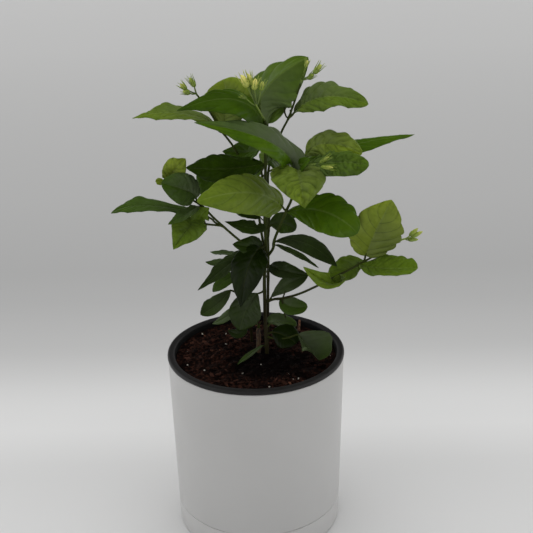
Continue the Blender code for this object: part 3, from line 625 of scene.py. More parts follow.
def turned(name, outline, finish, edge):
    """An outline of (radius, height) points turned round the Z axis, its edges rounded."""
    piece = added(bpy.ops.mesh.primitive_circle_add, vertices=len(outline), radius=1, fill_type="NOTHING")
    for vertex, (radius, height) in zip(piece.data.vertices, outline):
        vertex.co = (radius * MM, 0, height * MM)
    bpy.ops.object.mode_set(mode="EDIT")
    bpy.ops.mesh.select_all(action="SELECT")
    bpy.ops.mesh.spin(steps=TURN_STEPS, angle=TAU, center=(0, 0, 0), axis=(0, 0, 1))
    bpy.ops.mesh.select_all(action="SELECT")
    bpy.ops.mesh.remove_doubles(threshold=MERGE_TURNED)
    bpy.ops.mesh.delete_loose()
    bpy.ops.mesh.select_all(action="SELECT")
    bpy.ops.mesh.normals_make_consistent(inside=False)
    bpy.ops.object.mode_set(mode="OBJECT")
    piece.name = piece.data.name = name
    piece.data.materials.append(finish)
    modify(piece, "BEVEL", width=edge, segments=3, limit_method="ANGLE", angle_limit=math.radians(25),
           use_clamp_overlap=True)
    smooth(piece, 40)
    return piece


def drilled(piece, bottom, top):
    """Cuts the ring of drain holes and the central one through a floor."""
    turns = [i * TAU / DRAIN_COUNT for i in range(DRAIN_COUNT)]
    spots = [(0, 0)] + [(DRAIN_RING * math.cos(a), DRAIN_RING * math.sin(a)) for a in turns]
    drills = [added(bpy.ops.mesh.primitive_cylinder_add, vertices=32, radius=DRAIN_RADIUS * MM,
                    depth=(top - bottom) * MM, location=(x * MM, y * MM, (top + bottom) / 2 * MM))
              for x, y in spots]
    choose(*drills)
    bpy.ops.object.join()
    drill = bpy.context.object
    modify(piece, "BOOLEAN", operation="DIFFERENCE", solver="EXACT", object=drill)
    bpy.data.objects.remove(drill)


def outer_radius(height):
    """Outside of the planter and its tray, which taper together."""
    return BASE_RADIUS + (RIM_RADIUS - 0.4 - BASE_RADIUS) * height / HEIGHT


def white_plastic(name, colour):
    """Satin moulded plastic with faint handling marks."""
    f = Finish(name, Specular_IOR_Level=0.45)
    cloud = f.noise(14, 4)
    fine = f.noise(900, 2)
    marks = f.noise(60, 5, 0.7).step(0.62, 0.78)
    return f.finish(
        Base_Color=f.mix(cloud.step(0.3, 0.7) * 0.55 + marks * 0.2, colour, dimmed(colour, 0.955)),
        Roughness=cloud * 0.10 + marks * 0.05 + 0.32,
        Normal=f.bump(fine + cloud * 3, 0.025),
    )


def black_plastic(name, colour):
    """Thin black plastic: satin on the lip with grey specks of dirt that also stand in for a painted sheen,
    dull on the wall inside it, which is darkened as painted shade.
    """
    f = Finish(name, Specular_IOR_Level=0.18)
    # Grey specks on the lip: real dirt, and a painted sheen for the light the lip reflects.
    dust_and_sheen = f.noise(260, 5, 0.7).step(0.55, 0.8)
    scuff = f.noise(45, 3).step(0.4, 0.7)
    x, y, _ = f.split(f.place())
    lip = ((x * x + y * y) ** 0.5).step((GROWER_TOP_RADIUS + 0.1) * MM, (GROWER_TOP_RADIUS + 1.3) * MM)
    satin = f.mix(dust_and_sheen * 0.35 + scuff * 0.15, colour, tuple(0.024 + c * 1.5 for c in colour))
    return f.finish(
        # Painted shade: the wall inside the lip is drawn far darker than the plastic's own black.
        Base_Color=f.mix(lip, dimmed(colour, 0.08), satin),
        Roughness=dust_and_sheen * 0.18 + scuff * 0.08 + 0.74 - lip * 0.4,
        Normal=f.bump(f.noise(1500, 2) + scuff, 0.02),
    )


class JASMINE_OT_pots(bpy.types.Operator):
    """Turns the white planter, its water tray and the black grower's pot"""

    bl_idname = "jasmine.pots"
    bl_label = "Pots"

    def execute(self, context):
        pots = context.scene.jasmine_pots
        wall = pots.wall / MM
        edge = pots.round_edge
        top = outer_radius(TRAY_HEIGHT)
        tray = turned("tray", [
            (0, 0), (BASE_RADIUS - 1.5, 0), (BASE_RADIUS, 1.5), (top, TRAY_HEIGHT), (top - wall, TRAY_HEIGHT),
            (BASE_RADIUS - wall, FLOOR + 1), (BASE_RADIUS - wall - 1, FLOOR), (0, FLOOR)],
            white_plastic("tray white", pots.white), edge)
        seated(tray, "tray_plastic", "water_tray")

        low = TRAY_HEIGHT + GAP
        high = HEIGHT - LIP_HEIGHT - GAP
        foot = BASE_RADIUS - wall - 2
        floor_z = FLOOR + GAP + FOOT_HEIGHT
        outer = turned("outer_pot", [
            (0, floor_z), (foot - wall, floor_z), (foot - wall, FLOOR + GAP), (foot, FLOOR + GAP),
            (foot, low), (outer_radius(low), low), (outer_radius(high), high),
            (outer_radius(high) - wall, high), (outer_radius(low) - wall, low + FLOOR),
            (foot - wall, floor_z + FLOOR), (0, floor_z + FLOOR)],
            white_plastic("planter white", pots.white), edge)
        drilled(outer, floor_z - 2, floor_z + FLOOR + 2)
        seated(outer, "planter_plastic", "planter")

        under = HEIGHT - LIP_HEIGHT
        neck = GROWER_TOP_RADIUS + GROWER_WALL
        ridge = RIM_RADIUS - LIP_WIDTH
        inner = turned("grower_pot", [
            (0, GROWER_FLOOR_Z - 2), (GROWER_FLOOR_RADIUS, GROWER_FLOOR_Z - 2),
            (GROWER_FLOOR_RADIUS + GROWER_WALL, GROWER_FLOOR_Z), (neck - 0.4, under - 6), (neck, under),
            (RIM_RADIUS - 0.3, under), (RIM_RADIUS, under + 1), (RIM_RADIUS, HEIGHT - 1.5),
            (RIM_RADIUS - 0.5, HEIGHT - 0.5), (RIM_RADIUS - 1.5, HEIGHT), (ridge + 1.8, HEIGHT - 0.2),
            (ridge + 0.6, HEIGHT - 0.7), (GROWER_TOP_RADIUS, HEIGHT - 2),
            (GROWER_FLOOR_RADIUS, GROWER_FLOOR_Z), (0, GROWER_FLOOR_Z)],
            black_plastic("pot black", pots.black), edge * 0.5)
        drilled(inner, GROWER_FLOOR_Z - 6, GROWER_FLOOR_Z + 6)
        seated(inner, "nursery_pot_plastic", "nursery_pot")
        return {"FINISHED"}


def soil_side(height):
    """Radius of the soil where it lies against the grower's pot."""
    share = (height - GROWER_FLOOR_Z) / (HEIGHT - GROWER_FLOOR_Z)
    return GROWER_FLOOR_RADIUS + (GROWER_TOP_RADIUS - GROWER_FLOOR_RADIUS) * share - GAP


def soil_height(x, y):
    """Height of the soil's surface: a low mound with lumps that die out at the pot's wall."""
    out = min(1.0, math.hypot(x, y) / soil_side(SOIL_EDGE_Z))
    lumps = math.sin(0.16 * x + 1.1) * math.cos(0.19 * y) + 0.7 * math.sin(0.41 * x - 0.33 * y + 2.0)
    return SOIL_EDGE_Z + SOIL_MOUND * (1 - out * out) + SOIL_LUMP * lumps * (1 - out ** 6)


def rough_ground(x, y):
    """Height of the soil with its clods and crumbs."""
    clods = noise.fractal((x * 0.09, y * 0.09, 4.0), 0.9, 2.1, 3) * 1.0
    crumbs = abs(noise.fractal((x * 0.27, y * 0.27, 9.0), 0.8, 2.2, 3)) * 1.5
    return soil_height(x, y) + clods + crumbs - 0.8


def outside_painted_shade(f):
    """1 on the open soil, falling to 0 in the painted shade of the foliage in front of the stems."""
    x, y, _ = f.split(f.place())
    x, y = x / MM - PAINTED_SHADE_SPOT[0], y / MM - PAINTED_SHADE_SPOT[1]
    edge = f.noise(90, 3) * 16 - 8
    away = (x * x / 1.9 + y * y) ** 0.5 + edge
    return away.step(18, 34)


def soil_finish(name, ground):
    """Damp peat and coir: near black, with reddish fibres that are left out in the painted shade in front of
    the stems.
    """
    f = Finish(name, Specular_IOR_Level=0.06)
    patch = f.noise(70, 4, 0.6)
    grain = f.noise(330, 4, 0.7)
    fibre = f.noise(170, 3, 0.6, spot=f.stretch((1.0, 2.2, 1.0)), warp=1.5)
    # Painted shade: no red fibres where the foliage shades the soil.
    red = grain.step(0.42, 0.66) * patch.step(0.32, 0.58) * outside_painted_shade(f)
    coir = f.mix(fibre.step(0.4, 0.7), ground.fibre, dimmed(ground.fibre, 0.45))
    return f.finish(
        Base_Color=f.mix(red * 0.9, ground.dark, coir),
        Roughness=grain * 0.25 + 0.7,
        Normal=f.bump(grain + fibre, 0.6),
    )


def chip_finish(name, ground):
    """Coir and bark chips, each its own brown, darkened as painted shade in front of the stems."""
    f = Finish(name, Specular_IOR_Level=0.1)
    grain = f.noise(700, 3, 0.6, spot=f.stretch((1.0, 1.0, 3.0)))
    clump = f.noise(60, 3).step(0.38, 0.6) * 0.6 + 0.4
    # Painted shade: chips in front of the stems are darkened towards the peat's black.
    share = (f.attribute("tone") + grain * 0.3 - 0.15) * (outside_painted_shade(f) * 0.88 + 0.12) * clump
    browns = f.ramp(share, (0.0, ground.dark), (0.4, dimmed(ground.fibre, 0.4)),
                    (0.8, dimmed(ground.fibre, 0.8)), (1.0, (0.12, 0.05, 0.03)))
    return f.finish(Base_Color=browns, Roughness=grain * 0.3 + 0.62, Normal=f.bump(grain, 0.25))


def perlite_finish(name, ground):
    """Crumbly white mineral, stained by the peat."""
    f = Finish(name)
    stain = f.noise(500, 4, 0.7)
    stained = tuple(c * share for c, share in zip(ground.perlite, (0.45, 0.38, 0.3)))
    return f.finish(
        Base_Color=f.mix(stain.step(0.42, 0.75), ground.perlite, stained),
        Roughness=stain * 0.2 + 0.75,
        Normal=f.bump(f.cells(1200) + stain, 0.3),
    )


def crumbs(name, count, draw, finish, detail, spot, size, lean, sink):
    """Many small lumps on the soil, each an own copy of one lump, stretched, turned and half sunk."""
    lump = added(bpy.ops.mesh.primitive_ico_sphere_add, subdivisions=detail, radius=1)
    corners = np.array([v.co for v in lump.data.vertices])
    faces = np.array([list(p.vertices) for p in lump.data.polygons])
    bpy.data.objects.remove(lump)
    points, tones, polygons = [], [], []
    for i in range(count):
        x, y = spot(draw)
        sizes = np.array(size(draw))
        turn = Matrix.Rotation(draw.uniform(0, TAU), 3, "Z") @ Matrix.Rotation(draw.gauss(0, lean), 3, "Y")
        jagged = corners * np.array([[draw.uniform(0.7, 1.25)] for _ in corners])
        at = np.array((x, y, rough_ground(x, y) + sizes[2] * sink))
        points.append((jagged * (sizes / 2)) @ np.array(turn).T + at)
        tones.append(np.full(len(corners), draw.random()))
        polygons.append(faces + i * len(corners))
    mesh = bpy.data.meshes.new(name)
    mesh.from_pydata((np.vstack(points) * MM).tolist(), [], np.vstack(polygons).tolist())
    mesh.materials.append(finish)
    piece = bpy.data.objects.new(name, mesh)
    bpy.context.scene.collection.objects.link(piece)
    return tagged(piece, tone=np.concatenate(tones))


def anywhere(draw):
    """A spot on the soil, clear of the pot's wall and of the stems."""
    while True:
        x, y = draw.uniform(-66, 66), draw.uniform(-66, 66)
        near = min(math.hypot(x - a, y - b) for a, b in FEET)
        if math.hypot(x, y) < 65 and near > 4.5:
            return x, y


class JASMINE_OT_soil(bpy.types.Operator):
    """Fills the grower's pot with peat, coir chips and perlite"""

    bl_idname = "jasmine.soil"
    bl_label = "Soil"

    def execute(self, context):
        ground = context.scene.jasmine_ground
        side = soil_side(SOIL_EDGE_Z)
        bottom = GROWER_FLOOR_Z + GAP

        def shape(u, v):
            turn = np.rint(u * SOIL_SIDES) % SOIL_SIDES * TAU / SOIL_SIDES
            row = np.rint(v * (SOIL_RINGS + 2)).astype(int)
            upper = side * (SOIL_RINGS + 2 - row) / SOIL_RINGS
            out = np.where(row == 0, 0, np.where(row == 1, soil_side(bottom), upper))
            x, y = out * np.cos(turn), out * np.sin(turn)
            top = [rough_ground(a, b) if r < side - 0.1 else SOIL_EDGE_Z for a, b, r in zip(x, y, out)]
            return np.stack([x, y, np.where(row < 2, bottom, top)], 1)

        soil = joined("soil", [sheet(SOIL_SIDES, SOIL_RINGS + 2, shape)], soil_finish("peat", ground))
        smooth(soil, 50)
        seated(soil, "soil", "potting_soil")

        draw = random.Random(11)
        chips = crumbs(
            "coir_chips", ground.chips, draw, chip_finish("coir", ground), 1, anywhere,
            lambda d: (d.uniform(2.5, 8.0), d.uniform(1.6, 4.4), d.uniform(1.2, 2.8)), lean=0.35, sink=0.05)
        seated(chips, "soil")
        spots = iter(PERLITE)
        grains = crumbs(
            "perlite", len(PERLITE) + ground.grains, draw, perlite_finish("perlite white", ground), 2,
            lambda d: next(spots, None) or anywhere(d),
            lambda d: (d.uniform(1.2, 2.8), d.uniform(1.0, 2.0), d.uniform(0.8, 1.5)), lean=0.6, sink=0.15)
        smooth(grains)
        seated(grains, "soil")
        return {"FINISHED"}


# Tints of the leaves, and how far the side veins of the right half are ahead of those of the left.
PALE_RIB = (0.30, 0.38, 0.12)
# Grey of the painted sheen that stands in for the light the leaves reflect.
PAINTED_SHEEN_GREY = (0.084, 0.104, 0.058)
PALE_UNDERSIDE = (0.16, 0.21, 0.10)
HALF_SHIFT = 0.35


def leaf_finish(name, look, under):
    """Leaf skin: each leaf's own green, darkest as painted shade, pale midrib, side veins and crinkle creases
    darkened as painted shade, a painted grey sheen, satin above and duller below.
    """
    f = Finish(name, Specular_IOR_Level=0.12)
    u, v = f.uv()
    across = abs(u * 2 - 1)
    tone = f.attribute("tone")
    valley = f.attribute("valley")
    phase = (v - across * 0.2 - across * across * 0.1) * look.veins + f.attribute("seed")
    near = abs((phase + u.step(0.499, 0.501) * HALF_SHIFT).fraction() - 0.5)
    vein = near.step(0.40, 0.5) * (1 - across.step(0.6, 0.95)) * (1 - v.step(0.7, 0.92))
    midrib = 1 - across.step(0.02, 0.075)
    blotch = f.noise(55, 3)
    speck = f.noise(420, 3, 0.6)
    shade = tone + (blotch - 0.5) * 0.26 + (speck - 0.5) * 0.08
    # Painted shade: tones below 0.13 fall darker than deep green, for leaves in the shade of others.
    greens = f.ramp(shade, (0.0, dimmed(look.deep, 0.4)), (0.13, look.deep), (0.42, look.green),
                    (0.68, look.fresh), (1.0, look.young))
    colour = f.mix(midrib * (tone + 0.2) * 0.45, greens, f.mix(0.45, greens, PALE_RIB))
    # Painted shade: the side veins are darkened as the shade in their grooves, more on lighter leaves.
    colour = f.mix(vein * tone * 0.4, colour, dimmed(look.deep, 1.6))
    # Painted shade: the dips between the bulges of a crinkled blade are darkened.
    colour = f.mix(valley * 0.75, colour, dimmed(look.deep, 1.3))
    # Painted sheen: grey mixed in, less in the painted dips.
    colour = f.mix(f.attribute("bloom") * (1.15 - valley), colour, PAINTED_SHEEN_GREY)
    if under:
        colour = f.mix(0.3, colour, PALE_UNDERSIDE)
    relief = vein * (0.8 if under else -0.8) + f.cells(1100) * 0.25 + speck * 0.3
    return f.finish(
        Base_Color=colour,
        Roughness=speck * 0.10 + blotch * 0.06 + (0.5 if under else 0.25),
        Normal=f.bump(relief, 0.06),
    )


def stem_finish(name, look):
    """Green stems that turn woody brown where they are old; both colours are darkened as painted shade for
    the stems under the foliage.
    """
    f = Finish(name, Specular_IOR_Level=0.08)
    age = f.attribute("age")
    streak = f.noise(300, 4, 0.6, spot=f.stretch((1.0, 1.0, 0.25)))
    green = f.mix(streak, (0.022, 0.034, 0.006), (0.052, 0.068, 0.012))
    return f.finish(
        Base_Color=f.mix((age + (streak - 0.5) * 0.5).step(0.35, 0.85), green, look.bark),
        Roughness=streak * 0.2 + 0.42,
        Normal=f.bump(streak, 0.25),
    )


def bark_finish(name, dark, pale):
    """Bark between two browns, with upright cracks."""
    f = Finish(name)
    crack = f.noise(420, 5, 0.7, spot=f.stretch((1.0, 1.0, 0.2)), warp=0.6)
    brown = f.mix(f.noise(130, 3), dark, pale)
    return f.finish(
        Base_Color=f.mix(crack.step(0.45, 0.62), brown, (0.012, 0.007, 0.004)),
        Roughness=crack * 0.2 + 0.7,
        Normal=f.bump(crack, 0.6),
    )


def bud_finish(name, look):
    """Buds from green to yellow, brighter towards their tips."""
    f = Finish(name, Specular_IOR_Level=0.45)
    streak = f.noise(500, 3, 0.6)
    share = f.attribute("tone") + (f.uv()[1] - 0.5) * 0.3 + (streak - 0.5) * 0.25
    return f.finish(
        Base_Color=f.ramp(share, (0.0, (0.06, 0.10, 0.015)), (0.4, look.bud_green), (0.95, look.bud_yellow)),
        Roughness=streak * 0.2 + 0.35,
        Normal=f.bump(streak, 0.12),
    )


def blade_width(share, belly, point):
    """Width along a leaf, as a share of the widest. A point of 0 rounds the tip, 1 draws it out."""
    skew = math.log(0.5) / math.log(belly)
    past = ((share - belly) / (1 - belly)).clip(0, 1)
    power = 0.62 + (0.48 + 0.85 * point - 0.62) * past * past * (3 - 2 * past)
    return np.sin(math.pi * share.clip(0, 1) ** skew).clip(0) ** power


def quilting(across, along, seed):
    """Bulges between the small veins: rounded tops and narrow valleys, about 0 to 1."""
    spots = np.stack([across + seed * 90, along - 0.4 * np.abs(across)], 1)
    large = [abs(noise.noise((x / 8.5, y / 4.0, seed * 7))) for x, y in spots]
    small = [abs(noise.noise((x / 3.6, y / 2.2, seed * 9))) for x, y in spots]
    return np.sqrt(np.array(large)) + 0.4 * np.sqrt(np.array(small))


class Leaf:
    """One leaf: where its petiole, midrib and blade lie."""

    def __init__(self, path, row, look, seed):
        (height, petiole, middle, tip, self.width, self.belly, face, fold, self.wave, self.tone,
         self.crinkle, self.point, curl, self.lobes, self.bloom) = row
        self.foot = along_stem(path, height)
        middle, self.tip = np.array(middle, float), np.array(tip, float)
        self.base = self.foot + unit(unit(middle - self.foot) + (0, 0, 0.4)) * petiole
        self.bow = 2 * middle - (self.base + self.tip) / 2
        self.long = np.linalg.norm(middle - self.base) + np.linalg.norm(self.tip - middle)
        self.face = unit(face)
        self.fold = math.radians(fold)
        self.curl = math.radians(curl)
        self.look = look
        self.seed = seed

    def midrib(self, t):
        """Points of the midrib, and there the ways along it, across the blade and up from it."""
        t = np.asarray(t, float)[:, None]
        spot = self.base * (1 - t) ** 2 + self.bow * 2 * t * (1 - t) + self.tip * t ** 2
        along = unit((self.bow - self.base) * (1 - t) + (self.tip - self.bow) * t)
        side = unit(np.cross(along, self.face))
        return spot, along, side, np.cross(side, along)

    def shape(self, u, v):
        """The middle surface of the blade."""
        spot, along, side, up = self.midrib(v)
        share = u * 2 - 1
        out = np.abs(share)
        way = np.sign(share)
        half = self.width / 2 * blade_width(v, self.belly, self.point) + PETIOLE_RADIUS * 0.6 * (1 - v) ** 8
        phase = (v - 0.2 * out - 0.1 * out * out) * self.look.veins + self.seed + HALF_SHIFT * (way > 0)
        lobe = np.sqrt(np.abs(np.sin(math.pi * phase)))
        uneven = np.array([noise.noise((a * 5 + self.seed * 40, b * 0.9, 3.0)) for a, b in zip(v, way)])
        fade = np.minimum(1, np.minimum(v, 1 - v) * 9)
        half = half * (1 + (0.035 * self.wave * (lobe - 0.7) + 0.05 * self.wave * uneven) * out ** 3 * fade)
        # Each half is an arc whose chord leans by the fold.
        lean, bend = self.fold + self.curl / 2, self.curl
        reach = (math.sin(lean) - np.sin(lean - bend * out)) / bend
        rise = (np.cos(lean - bend * out) - math.cos(lean)) / bend
        small = min(1.0, self.width / 25)
        swell = 0.22 + 0.5 * self.crinkle
        puff = swell * lobe * np.sin(math.pi * out ** 0.8) * small
        quilt = quilting(share * half, v * self.long, self.seed)
        puff += (0.10 + 2.4 * self.crinkle) * quilt * small * (1 - out ** 6)
        # Painted sheen: the half that faces away is painted grey as if it caught the pale light, and the tip
        # of a leaf has less of it.
        lit = 1 + max(0, 4.4 * self.bloom - 1.3) * way * (side[:, 1] + 1.4 * side[:, 0])
        self.sheen = self.bloom * lit.clip(0, 1.45) * (1 - 0.7 * (v * 2 - 0.9).clip(0, 1))
        # Painted shade for the dips between the bulges, stronger on crinkled blades.
        quilt_shade = (1 - quilt / 0.85).clip(0, 1) * (0.15 + self.crinkle)
        self.crease_shades = quilt_shade + (0.35 - lobe).clip(0, 1) * 0.55 * self.crinkle
        ripple = self.wave * (0.8 * np.sin(9 * v + 2 * way) + 0.9 * (lobe - 0.7) + 1.6 * uneven) * out ** 2.5
        groove = -0.3 * np.exp(-(share * half / 0.8) ** 2)
        lift = half * rise + (ripple + puff + groove) * fade
        back = self.lobes * half * out ** 1.5 * (1 - v) ** 3
        return spot + side * (half * way * reach)[:, None] + up * lift[:, None] - along * back[:, None]

    def blade(self):
        grid = FINE_GRID if self.width * self.long > BROAD_LEAF else PLAIN_GRID
        piece = sheet(*grid, self.shape)
        return tagged(piece, tone=self.tone, seed=self.seed, valley=self.crease_shades, bloom=self.sheen)

    def petiole(self):
        """The stalk, which runs on as a ridge under the blade."""
        share = np.array([0.02, 0.1, 0.2, 0.32, 0.44, 0.56, 0.68, 0.8, 0.9])
        spot, _, _, up = self.midrib(share)
        ridge = spot - up * 0.35
        long = np.linalg.norm(self.base - self.foot)
        start = self.foot + (self.base - self.foot) * 0.05
        bend = [start + (self.base - start) * s - np.array((0, 0, 0.10)) * long * math.sin(math.pi * s)
                for s in (0.0, 0.25, 0.5, 0.75)]
        path = smooth_path([*bend, self.base - up[0] * 0.2, *ridge[1:]], steps=2)
        thin = min(1.0, self.width / 22 + 0.25)
        grow = np.linspace(0, 1, len(path))
        radii = thin * np.interp(grow, [0, 0.08, 0.35, 0.5, 1], [1.25, 0.95, 0.85, 0.6, 0.15])
        return tagged(stalk(path, radii, 8), age=0.1 + 0.75 * max(0, 0.7 - self.tone))


def shoots_of(stem):
    """The stem and every branch that grows from it, its own name first."""
    names = [stem]
    for branch, (parent, _) in BRANCHES.items():
        if parent in names:
            names.append(branch)
    return names


def stem_radii(name, path):
    """Radius along a stem, swollen at the joints where its leaves grow."""
    start, end = STEM_RADII[name]
    radii = np.linspace(start, end, len(path))
    for row in LEAVES[name]:
        gap = np.linalg.norm(path - along_stem(path, row[0]), axis=1)
        radii += 0.22 * np.exp(-(gap / 1.8) ** 2)
    return radii


def stem_age(height):
    """How woody a stem is at a height."""
    return np.interp(height, [150, 190, 240, 300, 400], [1.0, 0.85, 0.55, 0.35, 0.15])


def leaves_of(name, look, draw):
    """The leaves of a stem or branch, each with its own seed."""
    path = shoot_path(name)
    return [Leaf(path, row, look, draw.random()) for row in LEAVES[name]]


class JASMINE_OT_stems(bpy.types.Operator):
    """Draws the stems and branches with their petioles, swollen joints and bare twigs"""

    bl_idname = "jasmine.stems"
    bl_label = "Stems"

    def execute(self, context):
        look = context.scene.jasmine_look
        finish = stem_finish("green stem", look)
        draw = random.Random(5)
        for stem in STEMS:
            pieces = []
            for name in shoots_of(stem):
                path = shoot_path(name)
                rod = stalk(path, stem_radii(name, path), 14)
                height = np.array([v.co.z for v in rod.data.vertices]) / MM
                pieces.append(tagged(rod, age=stem_age(height)))
                pieces += [leaf.petiole() for leaf in leaves_of(name, look, draw)]
            for knots in TWIGS.get(stem, ()):
                path = smooth_path(knots)
                pieces.append(tagged(stalk(path, np.full(len(path), TWIG_RADIUS), 8), age=0.7))
            piece = joined(f"stems_{stem}", pieces, finish)
            smooth(piece)
            seated(piece, f"leaf_{stem}", f"leafy_stem_{stem}")
        return {"FINISHED"}


class JASMINE_OT_leaves(bpy.types.Operator):
    """Shapes the leaves of every shoot, with their veins, folds and waves"""

    bl_idname = "jasmine.leaves"
    bl_label = "Leaves"

    def execute(self, context):
        look = context.scene.jasmine_look
        finishes = [leaf_finish("leaf above", look, False), leaf_finish("leaf below", look, True)]
        draw = random.Random(5)
        for stem in STEMS:
            for name in shoots_of(stem):
                blades = [leaf.blade() for leaf in leaves_of(name, look, draw)]
                piece = joined(f"leaves_{name}", blades, *finishes)
                modify(piece, "SOLIDIFY", thickness=look.blade, offset=0, material_offset=1)
                smooth(piece)
                seated(piece, f"leaf_{stem}", f"leafy_stem_{stem}")
        return {"FINISHED"}


class JASMINE_OT_stump(bpy.types.Operator):
    """Makes the cut woody stump with the small shoots at its top"""

    bl_idname = "jasmine.stump"
    bl_label = "Stump"

    def execute(self, context):
        look = context.scene.jasmine_look
        path = smooth_path([(*STUMP_FOOT, FOOT_Z), (*STUMP_FOOT, 150), (*STUMP_FOOT, SOIL_LINE_Z),
                            (2.7, -0.6, 182), STUMP_TOP], steps=8)
        radii = np.array([STUMP_RADIUS * (1 + 0.08 * math.sin(1.7 * z) + 0.05 * math.sin(4.1 * z))
                          for z in path[:, 2]])
        bark = bark_finish("bark", dimmed(look.bark, 1.6), (0.13, 0.065, 0.032))
        piece = joined("stump", [stalk(path, radii, 18)], bark)
        smooth(piece, 60)
        seated(piece, "bark", "cutting_stump")
        top = np.array(STUMP_TOP)
        sprouts = []
        for x, y, z in ((-3.5, -1.5, 7.5), (-1.2, 1.0, 5.0), (2.6, -1.0, 7.0)):
            end = top + (x, y, z)
            bend = top + np.array((x * 0.3, y * 0.3, z * 0.5))
            path = smooth_path([top + (x * 0.2, y * 0.2, -2.0), bend, end], steps=4)
            sprouts.append(tagged(stalk(path, np.linspace(0.55, 0.25, len(path)), 8), age=0.25))
        piece = joined("stump_sprouts", sprouts, stem_finish("sprout green", look))
        smooth(piece)
        seated(piece, "bark")
        split_wood = bark_finish("split wood", (0.16, 0.06, 0.03), (0.34, 0.16, 0.08))
        piece = joined("wood_stub", [stalk(STUB, np.linspace(1.5, 0.9, len(STUB)), 8)], split_wood)
        smooth(piece, 50)
        seated(piece, "bark")
        return {"FINISHED"}


def bud_pieces(base, tip, width, tone, fork, teeth, stalk_tone):
    """A bud on its stalk: a cupped calyx with slender teeth round a plump corolla."""
    base, tip = np.array(base, float), np.array(tip, float)
    axis = unit(tip - base)
    length = np.linalg.norm(tip - base)
    across = np.array(Vector(axis).orthogonal().normalized())
    over = np.cross(axis, across)

    def on_axis(shares):
        return base + axis * length * np.array(shares)[:, None]

    cup = stalk(on_axis([0, 0.08, 0.2, 0.35, 0.5]), width * np.array([0.18, 0.32, 0.42, 0.45, 0.40]), 12)
    corolla = stalk(on_axis([0.2, 0.4, 0.55, 0.7, 0.82, 0.92, 1.0]),
                    width * np.array([0.2, 0.36, 0.38, 0.34, 0.26, 0.16, 0.04]), 12)
    pieces = [tagged(cup, tone=tone * 0.6), tagged(corolla, tone=tone)]
    for i in range(teeth):
        angle = TAU * (i + 0.3) / teeth
        out = across * math.cos(angle) + over * math.sin(angle)
        spread = np.array([0.34, 0.47, 0.55, 0.62, 0.72])
        path = on_axis([0.25, 0.5, 0.8, 1.05, 1.2]) + out * width * spread[:, None]
        pieces.append(tagged(stalk(path, [0.42, 0.36, 0.28, 0.2, 0.1], 6), tone=tone * 0.55))
    inside = base + axis * length * 0.15
    bow = (fork + inside) / 2 - np.array((0, 0, 0.6))
    path = smooth_path([fork, bow, inside], steps=4)
    pieces.append(tagged(stalk(path, np.full(len(path), BUD_STALK_RADIUS * 0.85), 8), tone=stalk_tone))
    return pieces


class JASMINE_OT_buds(bpy.types.Operator):
    """Sets the bud sprays on the tips of the shoots"""

    bl_idname = "jasmine.buds"
    bl_label = "Buds"

    def execute(self, context):
        finish = bud_finish("bud", context.scene.jasmine_look)
        for stem, (knots, buds) in SPRAYS.items():
            tip_path = shoot_path(stem)
            onward = unit(tip_path[-1] - tip_path[-2])
            start = tip_path[-1] + onward * GAP
            path = smooth_path([start, start + onward * SPRAY_SOCKET, *knots], steps=5)
            radii = np.linspace(BUD_STALK_RADIUS * 1.2, BUD_STALK_RADIUS, len(path))
            teeth, stalk_tone = SPRAY_LOOKS.get(stem, (6, 0.1))
            pieces = [tagged(stalk(path, radii), tone=stalk_tone)]
            for base, tip, width, tone in buds:
                pieces += bud_pieces(base, tip, width, tone, path[-2], teeth, stalk_tone)
            piece = joined(f"buds_{stem}", pieces, finish)
            smooth(piece)
            seated(piece, f"bud_{stem}", f"bud_spray_{stem}")
        return {"FINISHED"}


# Floor's painted light and shade by its distance behind the pot, in metres: darker close behind it and some
# way back, lighter between and far off. The camera's place, in metres, and the light's tilt and softness, in
# degrees.
FLOOR_SHADES = ((-1.0, 0.68), (-0.03, 0.68), (0.07, 0.645), (0.145, 0.71), (0.208, 0.68), (0.25, 0.63),
                (0.275, 0.59), (0.345, 0.50), (0.495, 0.43), (0.61, 0.405), (0.95, 0.435), (1.8, 0.48),
                (2.6, 0.52), (5.0, 0.575))
CAMERA_SPOT = (0.01114, -0.81089, 0.57973)
SUN_TILT = (-8, -1, 0)
SUN_ANGLE = 75


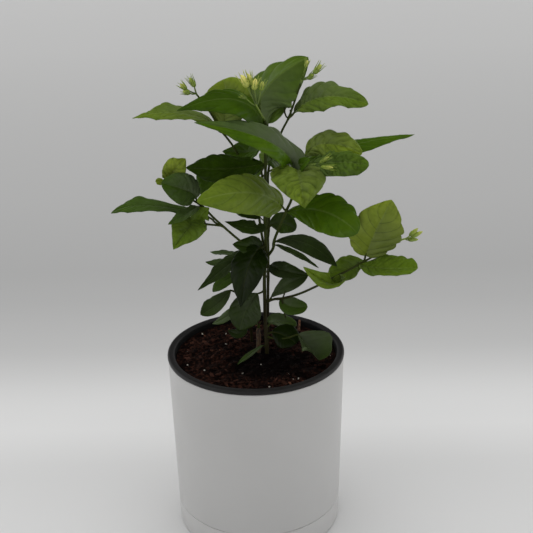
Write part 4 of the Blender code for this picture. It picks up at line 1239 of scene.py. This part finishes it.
class JASMINE_OT_stage(bpy.types.Operator):
    """Lays the floor and sets the lights and the camera"""

    bl_idname = "jasmine.stage"
    bl_label = "Stage"

    def execute(self, context):
        studio = context.scene.jasmine_studio
        floor = added(bpy.ops.mesh.primitive_circle_add, vertices=96, radius=12, fill_type="NGON")
        floor.name = "floor"
        f = Finish("floor", Roughness=0.9, Specular_IOR_Level=0.2)
        low, high = FLOOR_SHADES[0][0], FLOOR_SHADES[-1][0]
        share = (f.split(f.place())[1] - low) / (high - low)
        # Painted light and shade on the floor, by its distance behind the pot.
        shade = f.ramp(share, *[((y - low) / (high - low), (g, g, g * 0.995)) for y, g in FLOOR_SHADES])
        floor.data.materials.append(f.finish(Base_Color=shade))

        sun = added(bpy.ops.object.light_add, type="SUN", rotation=[math.radians(tilt) for tilt in SUN_TILT])
        sun.data.energy = studio.sun
        sun.data.angle = math.radians(SUN_ANGLE)
        sun.visible_glossy = False

        # Bright sides, a darker front and a dark ceiling, which the soft light then fills.
        sky = Pattern(bpy.data.worlds.new("studio"))
        context.scene.world = sky.owner
        x, y, z = sky.split(sky.node("ShaderNodeTexCoord", output="Generated"))
        walls = 1 - z.step(0.36, 0.62) * 0.95
        room = 0.48 + abs(x) * 1.18 + x * 0.02 - y.step(0.0, 0.8) * 0.4
        back = sky.tree.nodes["Background"]
        sky.feed(back.inputs["Color"], (1.0, 1.0, 1.0))
        sky.feed(back.inputs["Strength"], walls * room * studio.sky)

        turn = Matrix.Rotation(math.pi / 2 - studio.pitch, 3, "X") @ Matrix.Rotation(-studio.roll, 3, "Z")
        camera = added(bpy.ops.object.camera_add, location=CAMERA_SPOT, rotation=turn.to_euler())
        camera.data.sensor_width = 36
        camera.data.lens = studio.lens
        camera.data.clip_start = 0.01
        context.scene.camera = camera
        context.scene.view_settings.view_transform = "Standard"
        return {"FINISHED"}


class JASMINE_PT_panel(bpy.types.Panel):
    """Lists the steps of the potted jasmine in the sidebar"""

    bl_label = "Potted jasmine"
    bl_idname = "JASMINE_PT_panel"
    bl_space_type = "VIEW_3D"
    bl_region_type = "UI"
    bl_category = "Jasmine"

    def draw(self, context):
        for step in STEPS:
            self.layout.operator(step.bl_idname)


STEPS = (JASMINE_OT_stage, JASMINE_OT_pots, JASMINE_OT_soil, JASMINE_OT_stems, JASMINE_OT_leaves,
         JASMINE_OT_stump, JASMINE_OT_buds)
SETTINGS = {"jasmine_look": Look, "jasmine_ground": Ground, "jasmine_pots": Pots, "jasmine_studio": Studio}


def register():
    for group in SETTINGS.values():
        bpy.utils.register_class(group)
    for step in STEPS:
        bpy.utils.register_class(step)
    bpy.utils.register_class(JASMINE_PT_panel)
    for name, group in SETTINGS.items():
        setattr(bpy.types.Scene, name, bpy.props.PointerProperty(type=group))


def unregister():
    for name in SETTINGS:
        delattr(bpy.types.Scene, name)
    for kind in (JASMINE_PT_panel, *STEPS, *SETTINGS.values()):
        bpy.utils.unregister_class(kind)


def main():
    register()
    bpy.ops.jasmine.stage()
    bpy.ops.jasmine.pots()
    bpy.ops.jasmine.soil()
    bpy.ops.jasmine.stems()
    bpy.ops.jasmine.leaves()
    bpy.ops.jasmine.stump()
    bpy.ops.jasmine.buds()


if __name__ == "__main__":
    main()
